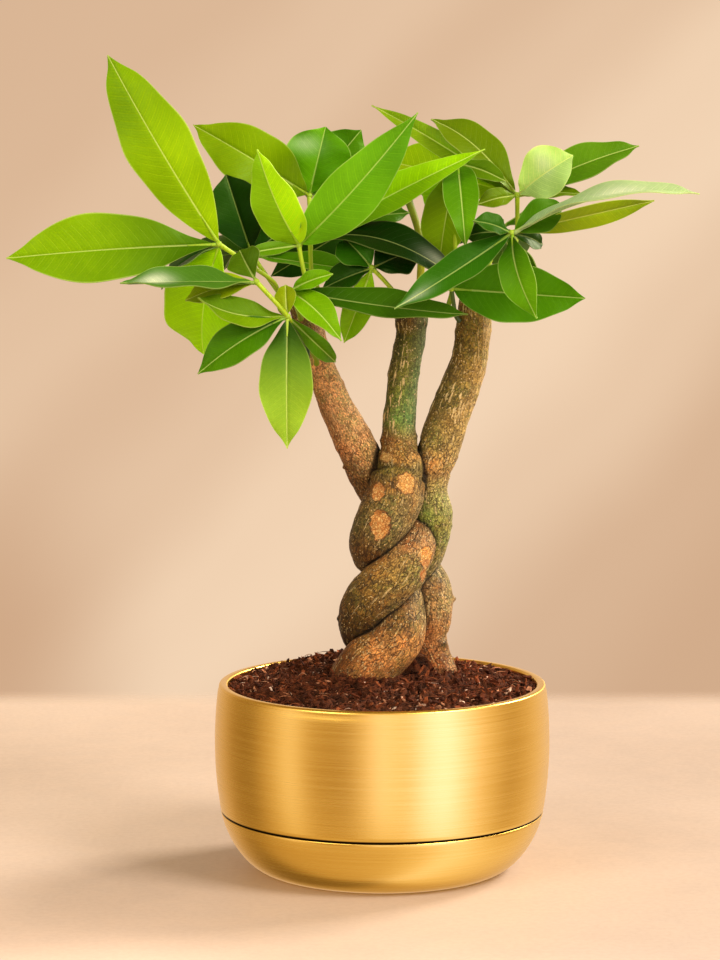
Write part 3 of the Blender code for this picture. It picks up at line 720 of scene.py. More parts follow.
def brushed_gold():
    made, g = blank("brushed_gold")
    place = g.own()
    fine = g.grain(place, 1.0, 3.0, 0.7, (14, 14, 5200))
    wide = g.grain(place, 1.0, 2.0, 0.6, (8, 8, 1500))
    broad = g.grain(place, 22.0)
    lines = g.plus(g.times(fine, 0.6), g.times(wide, 0.4))
    colour = g.mix(g.ramp(lines, 0.35, 0.65), (0.86, 0.56, 0.105), (0.95, 0.65, 0.14))
    colour = g.mix(g.ramp(broad, 0.3, 0.75, 0.0, 0.3), colour, (0.86, 0.55, 0.10))
    level = g.axes(place)[2]
    # Painted shade: a dark line painted along the seam between shell and dish, the shadow of the groove there
    seam = g.ramp(g.off(level, SEAM_LINE * MM), 0.0008, 0.0004)
    colour = g.mix(seam, colour, (0.03, 0.014, 0.004))
    rough, bumps = g.ramp(lines, 0.3, 0.7, 0.22, 0.29), g.relief(lines, 0.06, 0.0001)
    g.finish(g.principled(colour, rough, Metallic=1.0, Anisotropic=0.6, Normal=bumps))
    return made


def coir(name, low, high):
    made, g = blank(name)
    place = g.own()
    tint = g.kept("tint")[0]
    speckle = g.grain(place, 1400.0, 4.0, 0.7)
    colour = g.mix(g.ramp(speckle, 0.3, 0.75, 0.0, 0.8), tint, low)
    colour = g.mix(g.ramp(g.grain(place, 5200.0), 0.55, 0.75, 0.0, 0.5), colour, high)
    rough, bumps = g.ramp(speckle, 0.2, 0.8, 0.95, 0.75), g.relief(speckle, 0.6, 0.0004)
    g.finish(g.principled(colour, rough, 0.12, Normal=bumps))
    return made


# Layers of the bark's colour: what they follow, from where to where it counts and how much, and the tone
BARK_LAYERS = (
    ("blotches", 0.52, 0.66, 0.7, (1.5, 1.42, 1.25)), ("blotches", 0.46, 0.34, 0.6, (0.50, 0.46, 0.42)),
    ("streaks", 0.48, 0.34, 0.8, (0.34, 0.30, 0.28)), ("streaks", 0.54, 0.68, 0.6, (1.7, 1.65, 1.5)),
    ("crumbs", 0.55, 0.72, 0.6, (1.9, 1.8, 1.6)), ("crumbs", 0.45, 0.30, 0.6, (0.42, 0.38, 0.36)),
    ("light flakes", 0.55, 0.95, 0.75, (1.75, 1.65, 1.45)),
    ("dark flakes", 0.45, 0.05, 0.7, (0.45, 0.40, 0.36)),
    ("sand", 0.56, 0.70, 0.7, (2.3, 2.2, 2.0)), ("sand", 0.46, 0.32, 0.7, (0.28, 0.24, 0.20)),
)


def bark():
    """Painted tones with patches, cracks and light strokes. The state that is painted on the mesh says how
    dark the bark is at each point (painted shade in the creases and under the top lobe's fold, and darker
    just above the soil), how rubbed and how full of strokes it is, and how clear its cracks are."""
    made, g = blank("bark")
    place = g.own()
    tint = g.kept("tint")[0]
    marks = g.kept("state")
    state = g.parts(marks[0])
    strokes, crazed = state[2], marks[3]
    warp = g.add("TexNoise", {"Vector": place, "Scale": 420.0, "Detail": 2.0}).outputs[1]
    along = g.vector("ADD", g.kept("along")[1], g.vector("MULTIPLY", warp, (0.9, 0.9, 0.9))[0])[0]
    gap = g.seams(g.stretched(along, (0.62, 0.62, 0.34)))
    thin = g.seams(g.stretched(along, (1.5, 1.5, 0.8)))
    patches = g.grain(place, 80.0, 3.0, 0.5)
    blotches = g.grain(place, 230.0, 4.0, 0.6)
    crumbs = g.grain(place, 1100.0, 4.0, 0.7)
    sand = g.grain(place, 1150.0, 2.0, 0.5)
    streaks = g.grain(along, 1.0, 4.0, 0.65, (1.5, 1.5, 0.2))
    curls = g.off(g.grain(along, 1.0, 2.0, 0.6, (0.55, 0.55, 0.34)), 0.5)
    zone = g.grain(place, 300.0)
    dots = g.cells(place, 780.0)
    chosen = g.ramp(g.parts(dots["Color"])[0], 0.76, 0.84)
    cork = g.seams(place, 800.0)
    flake = g.parts(g.cells(g.stretched(along, (1.9, 1.9, 1.1)))["Color"])
    sliver = g.parts(g.cells(g.stretched(along, (1.5, 1.5, 0.24)))["Color"])

    def toned(share, colour, tone):
        return g.mix(share, colour, g.tone(tint, tone))

    colour = toned(g.ramp(patches, 0.49, 0.60, 0.0, 0.9), tint, (0.64, 1.0, 0.72))
    rusty = g.times(g.ramp(patches, 0.47, 0.37, 0.0, 0.9), g.ramp(crazed, 0.2, 1.0, 0.1, 1.0))
    colour = toned(rusty, colour, (1.38, 0.92, 0.66))
    sources = {"blotches": blotches, "streaks": streaks, "crumbs": crumbs, "light flakes": flake[0],
               "dark flakes": flake[1], "sand": sand}
    for source, low, high, most, tone in BARK_LAYERS:
        colour = toned(g.ramp(sources[source], low, high, 0.0, most), colour, tone)
    crack = g.times(g.times(g.ramp(gap, 0.085, 0.02), g.ramp(zone, 0.36, 0.56, 0.25, 1.0)), crazed)
    colour = toned(g.times(crack, 0.92), colour, (0.16, 0.12, 0.10))
    craze = g.times(g.ramp(thin, 0.10, 0.02), g.ramp(blotches, 0.6, 0.4, 0.2, 1.0))
    craze = g.times(craze, g.ramp(crazed, 0.0, 1.0, 0.4, 1.0))
    colour = toned(g.times(craze, 0.65), colour, (0.30, 0.26, 0.22))
    curled = g.ramp(g.math("MULTIPLY_ADD", strokes, 0.10, zone), 0.60, 0.66)
    curl = g.times(g.ramp(curls, 0.020, 0.006), curled)
    upright = g.ramp(g.math("MULTIPLY_ADD", strokes, 0.20, sliver[0]), 1.0, 1.07)
    upright = g.times(upright, g.ramp(crumbs, 0.35, 0.55, 0.3, 1.0))
    dot = g.times(g.ramp(dots["Distance"], 0.34, 0.2), chosen)
    bright = g.math("MAXIMUM", g.math("MAXIMUM", curl, upright), dot)
    colour = g.mix(g.times(bright, 0.85), colour, linear((244, 212, 150)))
    near = g.math("MULTIPLY_ADD", g.minus(crumbs, 0.5), 0.16, state[1])
    outline = g.ramp(g.off(near, 0.485), 0.05, 0.015, 0.0, 0.8)
    colour = g.mix(outline, colour, linear((112, 62, 28)))
    rubbed = g.kept("scar")[0]
    for source, low, high, most, tone in (
        (flake[0], 0.3, 0.85, 0.75, (255, 220, 142)), (blotches, 0.44, 0.36, 0.6, (188, 116, 54)),
        (cork, 0.20, 0.05, 0.7, (172, 100, 42)),
    ):
        rubbed = g.mix(g.ramp(source, low, high, 0.0, most), rubbed, linear(tone))
    colour = g.mix(g.ramp(near, 0.49, 0.515), colour, rubbed)
    # Painted shade in the creases and under the fold, and darkening just above the soil, from the state's
    # first part
    colour = g.mix(state[0], colour, linear((26, 14, 7)))
    height = g.minus(g.math("MULTIPLY_ADD", sand, 0.4, g.times(crumbs, 0.6)), g.times(crack, 0.8))
    height = g.minus(height, g.times(craze, 0.35))
    height = g.plus(height, g.times(g.plus(streaks, bright), 0.4))
    height = g.plus(height, g.times(flake[0], 0.35))
    rough, bumps = g.ramp(crumbs, 0.2, 0.8, 0.5, 0.72), g.relief(height, 0.9, 0.0007)
    g.finish(g.principled(colour, rough, 0.4, Specular_Tint=(0.95, 1.0, 0.8, 1), Normal=bumps))
    return made


def foliage(name, gloss, veined):
    """A leaf's skin: how rough its shine is, and how clear its side veins are."""
    made, g = blank(name)
    place = g.own()
    tint = g.kept("tint")[0]
    vein = g.parts(g.kept("vein")[0])
    ridge = g.off(g.math("FRACT", vein[0]), 0.5)
    lateral = g.times(g.ramp(ridge, 0.455, 0.50), g.ramp(vein[2], 1.0, 0.6))
    rib = g.ramp(vein[1], 0.46, 0.26)
    thrice = g.math("FRACT", g.times(vein[0], 3.0))
    minor = g.ramp(g.off(thrice, 0.5), 0.40, 0.50)
    minor = g.times(minor, g.ramp(vein[2], 0.95, 0.5))
    mesh = g.ramp(g.seams(place, 700.0), 0.09, 0.0)
    cloud = g.grain(place, 42.0, 3.0, 0.6)
    speck = g.grain(place, 900.0, 3.0)
    dapple = g.grain(place, 170.0, 3.0, 0.6)
    dusky = g.tone(tint, (0.58, 0.70, 0.6))
    colour = g.mix(g.ramp(cloud, 0.32, 0.68, 0.0, 0.42), tint, dusky)
    colour = g.mix(g.ramp(speck, 0.3, 0.8, 0.0, 0.2), colour, g.tone(tint, (1.3, 1.2, 1.2)))
    colour = g.mix(g.ramp(dapple, 0.35, 0.65, 0.0, 0.35), colour, g.tone(tint, (0.80, 0.86, 0.8)))
    between = g.times(g.ramp(ridge, 0.32, 0.05), g.ramp(vein[2], 1.0, 0.3))
    colour = g.mix(g.times(between, 0.10), colour, dusky)
    lit = g.tone(tint, (1.9, 1.5, 2.0))
    green = g.parts(tint)[1]
    pale = g.mix(g.ramp(green, 0.03, 0.35, 0.34, 0.66), lit, linear((216, 234, 140)))
    edge = g.ramp(vein[2], 0.955, 0.985)
    for line, most, tone in ((mesh, 0.08, lit), (minor, 0.24, lit), (lateral, veined, lit), (rib, 0.92, pale),
                             (edge, 0.55, pale)):
        colour = g.mix(g.times(line, most), colour, tone)
    height = g.plus(g.times(lateral, -0.5), g.times(mesh, -0.18))
    height = g.plus(height, g.times(speck, 0.14))
    normal = g.relief(height, 0.55, 0.0003)
    rough = g.ramp(cloud, 0.2, 0.8, gloss + 0.08, gloss - 0.04)
    skin = g.principled(colour, rough, 0.30, Specular_Tint=(0.62, 1.0, 0.28, 1), Normal=normal)
    through = g.tone(colour, (1.2, 1.15, 0.3))
    glow = g.add("BsdfTranslucent", {"Color": through, "Normal": normal}).outputs[0]
    g.finish(g.shader_mix(0.30, skin, glow))
    return made


def stalk():
    made, g = blank("stalk_green")
    place = g.own()
    tint = g.kept("tint")[0]
    streak = g.grain(place, 1.0, 3.0, 0.6, (900, 900, 120))
    colour = g.mix(g.ramp(streak, 0.35, 0.7, 0.0, 0.4), tint, g.tone(tint, (1.35, 1.2, 1.1)))
    colour = g.mix(g.ramp(streak, 0.45, 0.25, 0.0, 0.35), colour, linear((84, 96, 20)))
    rough, bumps = g.ramp(streak, 0.2, 0.8, 0.42, 0.55), g.relief(streak, 0.3, 0.0002)
    g.finish(g.principled(colour, rough, 0.4, Normal=bumps, Subsurface_Weight=0.15, Subsurface_Scale=0.002))
    return made


# Pot


def body_radius(height):
    widest = POT_DIAMETER / 2
    if height >= WIDEST_HEIGHT:
        return widest - RIM_DRAW_IN * ((height - WIDEST_HEIGHT) / (POT_HEIGHT - WIDEST_HEIGHT)) ** 2
    if height >= SEAM_HEIGHT:
        return widest - SEAM_DRAW_IN * ((WIDEST_HEIGHT - height) / (WIDEST_HEIGHT - SEAM_HEIGHT)) ** 2
    drop = (SEAM_HEIGHT - height) / SEAM_HEIGHT
    return FOOT_RADIUS + (widest - SEAM_DRAW_IN - FOOT_RADIUS) * math.sqrt(1 - drop**FOOT_FULLNESS)


def rim_point(angle):
    turn = math.radians(angle)
    roll = RIM_WIDTH / 2
    across = math.copysign(abs(math.cos(turn)) ** RIM_SQUARENESS, math.cos(turn))
    radius = body_radius(POT_HEIGHT) - roll + roll * across
    return radius, POT_HEIGHT - roll + roll * max(0.0, math.sin(turn)) ** RIM_SQUARENESS


def dish_inner(height):
    return body_radius(height) - DISH_WALL * (1 + 0.8 * (1 - height / SEAM_HEIGHT))


def pot_inner(height):
    if height < SEAM_HEIGHT + DISH_WALL:
        return dish_inner(min(height, SEAM_HEIGHT)) - 2 * GAP - WALL
    rolled = max(0.0, (height - ROLLED_FROM) / (POT_HEIGHT - RIM_WIDTH / 2 - ROLLED_FROM))
    return body_radius(height) - WALL - rolled * (RIM_WIDTH - WALL)


def eased_lip(radius, height, inward, down):
    """A small rounded edge from the outer wall to the seam."""
    arc = [(radius - LIP_EASE + LIP_EASE * math.cos(a), height + down * (LIP_EASE * math.sin(a) - LIP_EASE))
           for a in np.radians([0, 22, 45, 68, 90])]
    return arc[::inward]


def pot_body_profile():
    lip = SEAM_HEIGHT + GAP
    nested_floor = dish_inner(FLOOR_HEIGHT) - 4 * GAP
    profile = [rim_point(angle) for angle in range(90, -1, -10)]
    profile += [(body_radius(height), height) for height in np.linspace(86, lip + LIP_EASE, 36)]
    profile += eased_lip(body_radius(SEAM_HEIGHT), lip, 1, -1)[1:]
    profile += [(dish_inner(SEAM_HEIGHT) - 2 * GAP, lip)]
    profile += [(dish_inner(height) - 2 * GAP, height) for height in (24, 21, 18, 15, 13, 11)]
    profile += [(nested_floor, FLOOR_HEIGHT), (DRAIN_RADIUS, FLOOR_HEIGHT)]
    profile += [(DRAIN_RADIUS, FLOOR_HEIGHT + WALL), (nested_floor - WALL, FLOOR_HEIGHT + WALL)]
    profile += [(pot_inner(height), height) for height in (14, 20, 28, 38, 50, 61, 70, 76, 80, 84)]
    return profile + [rim_point(angle) for angle in range(180, 99, -10)]


def pot_base_profile():
    profile = [(0.001, WALL), (FOOT_RADIUS, WALL)]
    profile += [(dish_inner(height), height) for height in (4, 5, 7, 9, 12, 15, 19, 23)]
    profile += [(dish_inner(SEAM_HEIGHT), SEAM_HEIGHT)]
    profile += eased_lip(body_radius(SEAM_HEIGHT), SEAM_HEIGHT, -1, 1)
    profile += [(body_radius(height), height) for height in np.geomspace(SEAM_HEIGHT - LIP_EASE - 1, 0.4, 26)]
    return profile + [(FOOT_RADIUS + 0.6, 0.08), (FOOT_RADIUS - 0.8, 0), (0.001, 0)]


def make_pot():
    gold = brushed_gold()
    settle(turned("pot_dish", pot_base_profile(), gold), "pot_base")
    settle(turned("pot_shell", pot_body_profile(), gold), "pot_body")


# Soil


def beyond_strands(points, names=None):
    """How far each point is outside the nearest of these strands' round bark, in millimetres."""
    nearest = np.full(len(points), np.inf)
    for name in names or STRANDS:
        curve = STRANDS[name]
        for start in range(0, len(points), POINTS_AT_ONCE):
            stop = start + POINTS_AT_ONCE
            some = points[start:stop]
            gaps = np.linalg.norm(some[:, None] - curve[None, :, :3], axis=2) - curve[None, :, 3]
            nearest[start:stop] = np.minimum(nearest[start:stop], gaps.min(1))
    return nearest


def soil_height(x, y):
    """The mound as in the solids, heaped a little against the roots."""
    radius = np.hypot(x, y)
    mound = SOIL_MOUND * (1 - (radius / SOIL_RADIUS) ** 2)
    lumps = np.sin(0.31 * x + 1.3) * np.sin(0.27 * y + 0.4) + 0.7 * np.sin(0.52 * y - 0.38 * x)
    calm = np.minimum(1, (SOIL_RADIUS - radius) / SOIL_CALM_EDGE)
    level = SOIL_EDGE_HEIGHT + mound + SOIL_LUMPS * lumps * calm
    near = beyond_strands(np.column_stack([x, y, level]))
    pocket = HEAP_HEIGHT * np.exp(-((x - HEAP_AT[0]) ** 2 + (y - HEAP_AT[1]) ** 2) / HEAP_WIDTH**2)
    level += SOIL_BACK_RISE * step(y, 5, 60) * hump(x - BACK_RISE_AT, BACK_RISE_WIDTH)
    return level + (3.4 * np.exp(-np.maximum(near, 0) / 5.5) + pocket) * calm


def soil_surface(x, y):
    flat = np.column_stack([x, y, np.zeros(len(x))])
    calm = np.clip((SOIL_RADIUS - np.hypot(x, y)) / 3, 0, 1)
    clumps = 1 - 2 * np.abs(clouds(flat, 6.0, 3.1, 2))
    rough = 1.1 * clumps + 2.2 * clouds(flat, 2.8, 8.7, 3) + 0.9 * clouds(flat, 1.1, 1.9, 2)
    return soil_height(x, y) + rough * (0.3 + 0.7 * calm), rough


def make_soil():
    random = np.random.default_rng(SOIL_SEED)
    crumbs = coir("coir_bed", linear((24, 9, 4)), linear((196, 122, 72)))
    rim = circle(SOIL_STEPS)
    edge = pot_inner(SOIL_EDGE_HEIGHT) - 2 * GAP
    outline = [(dish_inner(FLOOR_HEIGHT) - WALL - 8 * GAP, FLOOR_HEIGHT + WALL + GAP)]
    outline += [(pot_inner(height) - 2 * GAP, height) for height in SOIL_WALL_HEIGHTS]
    rings = [np.column_stack([rim * radius, np.full(SOIL_STEPS, height)]) for radius, height in outline]
    rises = [np.zeros(SOIL_STEPS * (1 + len(SOIL_WALL_HEIGHTS)))]
    for radius in np.linspace(edge, 0.4, SOIL_RINGS):
        flat = rim * radius
        level, rough = soil_surface(flat[:, 0], flat[:, 1])
        rings.append(np.column_stack([flat, level]))
        rises.append(rough)
    points = np.concatenate(rings)
    bed = mesh_object("soil_bed", points, facing_out(points, ring_faces(len(rings), SOIL_STEPS)), crumbs)
    # Painted shade on the bed: its tint is darkest in the hollows between its lumps and lightest on their
    # tops
    dark, warm = linear((8, 4, 3)), linear((92, 44, 22))
    share = step(np.concatenate(rises) + 0.8 * clouds(points, 3.0, 5.0, 2), -0.6, 1.8)[:, None]
    paint(bed, "tint", dark + (warm - dark) * share)
    hairs = coir("coir_fibre", linear((50, 22, 10)), linear((214, 142, 88)))
    for piece in (bed, soil_chips(random, crumbs), soil_fibres(random, hairs)):
        settle(piece, "soil")


def scattered(random, count, margin):
    """Places on the soil that are clear of the roots, and how open to the light each is, from 0 to 1."""
    radius = (SOIL_RADIUS - margin) * np.sqrt(random.random(count * 2))
    bearing = random.random(count * 2) * 2 * math.pi
    x, y = radius * np.cos(bearing), radius * np.sin(bearing)
    z, rough = soil_surface(x, y)
    places = np.column_stack([x, y, z])
    clear = beyond_strands(places) > 0.2
    return places[clear][:count], step(rough[clear][:count], -1.2, 1.0)


HUSK_SHARES = (0.0, 0.55, 0.88, 0.96, 1.0)
HUSK_BROWNS = ((40, 16, 9), (88, 38, 21), (158, 84, 48), (232, 170, 132), (255, 226, 204))

ICO = np.array([
    (0, 0, 1), (0.894, 0, 0.447), (0.276, 0.851, 0.447), (-0.724, 0.526, 0.447), (-0.724, -0.526, 0.447),
    (0.276, -0.851, 0.447), (0.724, 0.526, -0.447), (-0.276, 0.851, -0.447), (-0.894, 0, -0.447),
    (-0.276, -0.851, -0.447), (0.724, -0.526, -0.447), (0, 0, -1),
])
ICO_FACES = np.array([
    (0, 1, 2), (0, 2, 3), (0, 3, 4), (0, 4, 5), (0, 5, 1), (1, 6, 2), (2, 7, 3), (3, 8, 4), (4, 9, 5),
    (5, 10, 1), (6, 7, 2), (7, 8, 3), (8, 9, 4), (9, 10, 5), (10, 6, 1), (11, 7, 6), (11, 8, 7),
    (11, 9, 8), (11, 10, 9), (11, 6, 10),
])


def turns(random, count):
    """Random rotations."""
    quarter = unit(random.normal(size=(count, 4)))
    w, x, y, z = quarter.T
    return np.stack([
        np.stack([1 - 2 * (y * y + z * z), 2 * (x * y - z * w), 2 * (x * z + y * w)], 1),
        np.stack([2 * (x * y + z * w), 1 - 2 * (x * x + z * z), 2 * (y * z - x * w)], 1),
        np.stack([2 * (x * z - y * w), 2 * (y * z + x * w), 1 - 2 * (x * x + y * y)], 1),
    ], 1)


def husk_tints(share, places, open_to_light):
    """Reddish browns from dark to light, with painted shade in the hollows and painted light at the back and
    to the sides.
    """
    stops = np.array([linear(colour) for colour in HUSK_BROWNS])
    tint = np.column_stack([np.interp(share, HUSK_SHARES, stops[:, i]) for i in range(3)])
    east, north = places[:, 0], places[:, 1]
    sun = 1 + 0.7 * step(east, 10, 45) * step(east, 70, 50)
    sun = sun + 0.35 * step(-east, 30, 55) + 0.6 * step(north, 15, 50)
    return tint * ((0.08 + 0.92 * open_to_light) * sun)[:, None]


def soil_chips(random, finish):
    """Crumbs of husk lying on the bed."""
    places, open_to_light = scattered(random, CHIPS, 3.4)
    count, corners = len(places), len(ICO)
    size = 0.6 + 2.6 * random.random(count) ** 2.4
    flat, thin = 0.22 + 0.3 * random.random(count), 0.12 + 0.25 * random.random(count)
    squash = np.stack([np.ones(count), flat, thin], 1)
    rough = 1 + 0.28 * random.normal(size=(count, corners, 1)).clip(-1.6, 1.6)
    forms = ICO[None] * rough * (size[:, None] * squash)[:, None]
    forms = np.einsum("nij,nkj->nki", turns(random, count), forms)
    points = (forms + places[:, None] + np.array([0, 0, 0.15])).reshape(-1, 3)
    faces = (ICO_FACES[None] + corners * np.arange(count)[:, None, None]).reshape(-1, 3).tolist()
    chips = mesh_object("soil_chips", points, faces, finish, sharp=25)
    tint = husk_tints(random.random(count) ** 1.8, places, open_to_light)
    paint(chips, "tint", np.repeat(tint, corners, axis=0))
    return chips


def soil_fibres(random, finish):
    """Short curled hairs of coir."""
    starts, open_to_light = scattered(random, FIBRES, 5.0)
    count, knots, sides = len(starts), len(FIBRE_TAPER), FIBRE_SIDES
    heading = random.random(count) * 2 * math.pi
    curl = random.normal(size=count) * 0.9
    length = 1.8 + 5.4 * random.random(count) ** 1.7
    rise = 0.10 + 0.45 * random.random(count) ** 3
    lines = []
    for share in np.linspace(0, 1, knots):
        bearing = heading + curl * share
        reach = length * share
        x = starts[:, 0] + reach * np.cos(bearing)
        y = starts[:, 1] + reach * np.sin(bearing)
        over = np.hypot(x, y) / FIBRE_LIMIT
        x, y = np.where(over > 1, x / over, x), np.where(over > 1, y / over, y)
        z = starts[:, 2] + 0.1 + length * rise * np.sin(math.pi * share) * 0.5
        lines.append(np.column_stack([x, y, z]))
    lines = np.stack(lines, 1)
    radius = (0.08 + 0.13 * random.random(count))[:, None] * np.array(FIBRE_TAPER)[None]
    along = unit(np.gradient(lines, axis=1))
    across = unit(np.cross(along, [0, 0, 1.0]))
    up = np.cross(across, along)
    rings = lines[:, :, None] + radius[:, :, None, None] * around(sides, across, up)
    points = rings.reshape(-1, 3)
    pattern = np.array(ring_faces(knots, sides, caps=False))
    faces = (pattern[None] + knots * sides * np.arange(count)[:, None, None]).reshape(-1, 4).tolist()
    fibres = mesh_object("soil_fibres", points, faces, finish)
    tint = husk_tints(random.random(count) ** 1.5, starts, open_to_light)
    paint(fibres, "tint", np.repeat(tint, knots * sides, axis=0))
    return fibres


# Trunks


def bark_tint(name, points, outward):
    tones = BARK_TONES[name]
    heights = [height for height, _ in tones][::-1]
    colours = np.array([linear(colour) for _, colour in tones])[::-1]
    wobble = 3.0 * clouds(points, 14.0, 2.2, 2)
    level = points[:, 2] + wobble
    base = BARK_GAIN * np.column_stack([np.interp(level, heights, colours[:, i]) for i in range(3)])
    branch = step(points[:, 2], BRANCHES_FROM, BRANCHES_FROM + 12)[:, None]
    # Painted light: the right-hand side takes the lit colour, with less of it low on the braid
    colour, most = LIT_SIDES[name]
    amount = step(outward[:, 0], -0.1, 0.9)[:, None] * (0.3 + (most - 0.3) * branch)
    low = step(points[:, 2], 135, 105)[:, None]
    amount = amount * (1 - 0.7 * low)
    side = linear(LIT_BRAID) * (1 - branch) + linear(colour) * branch
    base = base * (1 - amount) + side * amount
    # Painted shade: the left-hand side is darker, more so low on the braid
    shade = step(-outward[:, 0], 0.1, 1.0)[:, None]
    return base * (1 - shade * np.array([0.46, 0.54, 0.66]) * (1 + 0.6 * low))


def bark_marks(name, points, outward):
    """How many light strokes the bark has at each point, and how clear its net of cracks is."""
    branch = step(points[:, 2], BRANCHES_FROM, BRANCHES_FROM + 12)
    right = step(outward[:, 0], -0.3, 0.4)
    strokes, craze = {"trunk_left": (0.35, 0.3), "trunk_middle": (0.75, 0.3), "trunk_right": (1.0, 0.6)}[name]
    strokes = strokes * (1 - 0.7 * right) if name == "trunk_middle" else strokes * (0.6 + 0.4 * right)
    return 0.25 + (strokes - 0.25) * branch, 1 + (craze - 1) * branch


def make_trunk(name, finish):
    curve = smooth_curve(TRUNKS[name], BARK_STEP)
    line, radii = curve[:, :3], curve[:, 3]
    across, up = swept_frames(line)
    travelled = np.concatenate([[0], np.cumsum(np.linalg.norm(np.diff(line, axis=0), axis=1))])
    flat_out = around(BARK_SIDES, across, up).reshape(-1, 3)
    ring = np.repeat(radii, BARK_SIDES)[:, None]
    points = np.repeat(line, BARK_SIDES, axis=0) + ring * flat_out
    aside = ring * np.tile(circle(BARK_SIDES), (len(line), 1))
    skin = np.column_stack([aside, np.repeat(travelled, BARK_SIDES)])
    others = [other for other in STRANDS if other != name]
    outside = beyond_strands(points, others)
    proud = 0.55 * clouds(points, 13.0, 4.4, 2) + 0.28 * clouds(skin * (1, 1, 0.25), 2.2, 9.1, 3)
    proud += 0.12 * clouds(points, 1.5, 6.0, 2)
    proud -= 0.6 * fading(outside, 0.7)
    for height, tall, lift in RINGS[name]:
        wavy = points[:, 2] - height + 1.2 * clouds(skin * (1, 1, 0.1), 6.0, height, 1)
        proud += lift * hump(wavy, tall) * (1 + 0.5 * clouds(skin * (1, 1, 1.6), 1.8, 2.0, 2))
    fold = np.zeros(len(points))
    if name == "trunk_middle":
        aside = points[:, 0] - CREST[0]
        drop = np.where(aside < 0, CREST[2], CREST[3]) * (aside / 15) ** 2
        above = points[:, 2] - (CREST[1] - drop) + 0.5 * clouds(points, 9.0, 7.7, 2)
        front = step(-flat_out[:, 1], -0.7, 0.0)
        fold = hump(above, 0.9) * front
        inset = 2.0 * step(above, -1.0, 0.6) * fading(above, 8.0)
        proud -= (inset + 0.5 * fold + 0.9 * np.exp(np.clip(above, None, 0) / 2.2) * (above < 0)) * front
    tint = bark_tint(name, points, flat_out)
    # Painted shade where the bark runs close to the other strands
    tint *= 1 - 0.35 * fading(outside, 2.0)[:, None]
    bare, scarred = np.zeros(len(points)), tint.copy()
    for place, width, height, colour in SCARS:
        gap = points - np.array(place)
        far = np.sqrt((gap[:, 0] / width) ** 2 + (gap[:, 1] / 6) ** 2 + (gap[:, 2] / height) ** 2)
        far += 0.30 * clouds(points, 2.2, width, 3)
        patch = 1 - step(far, 0.98, 1.08)
        proud -= 0.3 * patch - 0.25 * hump(far - 1.05, 0.12)
        bare = np.maximum(bare, np.clip(1 - far / 2, 0, 1))
        scarred = np.where(far[:, None] < 1.7, linear(colour), scarred)
    for place, width, lift in NUBS:
        near = np.linalg.norm(points - np.array(place), axis=1)
        proud += lift * hump(near, width)
        tint *= 1 - min(0.7, 0.35 * lift) * np.exp(-(near / width / 1.2) ** 2)[:, None]
    points = points + proud[:, None] * flat_out
    caps = []
    for share in CAP_SHARES:
        sunk = np.array([0, 0, 1]) * (CAP_DEPTH - CAP_DEPTH * math.sqrt(1 - share**2)) * 0.5
        caps.append(line[0] + (points[:BARK_SIDES] - line[0]) * share - sunk)
    points = np.concatenate([*caps[::-1], points])
    faces = ring_faces(len(line) + len(CAP_SHARES), BARK_SIDES)
    added = len(CAP_SHARES) * BARK_SIDES

    def pad(values):
        return np.concatenate([np.repeat(values[:1], added, axis=0), values])

    body = mesh_object(name.replace("trunk", "bark"), points, facing_out(points, faces), finish)
    tint = pad(tint)
    tint[:added] = linear(CAP_TONE)
    paint(body, "tint", tint)
    paint(body, "along", pad(skin))
    # Painted shade in the creases between strands and under the top lobe's fold; darker also just above the
    # soil line
    dark = 0.75 * fading(outside, 0.28) + 0.5 * fold
    dark += 0.35 * fading(points[added:, 2] - SOIL_LINE, 3.0)
    strokes, craze = bark_marks(name, points[added:], flat_out)
    paint(body, "state", np.column_stack([pad(np.clip(dark, 0, 1)), pad(bare), pad(strokes), pad(craze)]))
    paint(body, "scar", pad(scarred))
    settle(body, name)


# Leaves


def leaf_outline(t, spec):
    """Half of a leaflet's width along its length: as in the solids, drawn out finer at the tip."""
    power = math.log(0.5) / math.log(spec["widest"])
    half = np.sin(math.pi * np.clip(t, 0.0, 1.0) ** power) ** spec["taper"]
    return half * (1 - 0.35 * step(t, 0.86, 1.0))


def blade_frame(foot, spec, t):
    """Points of the leaflet's midrib, with the directions across the blade and out of its upper face."""
    foot, tip = np.asarray(foot, float), np.asarray(spec["tip"], float)
    tilt, turn = math.radians(spec["tilt"]), math.radians(spec["turn"])
    face = np.array([math.sin(tilt) * math.sin(turn), -math.sin(tilt) * math.cos(turn), math.cos(tilt)])
    length = np.linalg.norm(tip - foot)
    chord = (tip - foot) / length
    out = unit(face - face.dot(chord) * chord)
    middle = (foot + tip) / 2 + 2 * spec["arch"] * length * out
    t = np.asarray(t)[:, None]
    point = (1 - t) ** 2 * foot + 2 * t * (1 - t) * middle + t**2 * tip
    along = unit(2 * (1 - t) * (middle - foot) + 2 * t * (tip - middle))
    across = unit(np.cross(out, along))
    return point, across, np.cross(along, across)


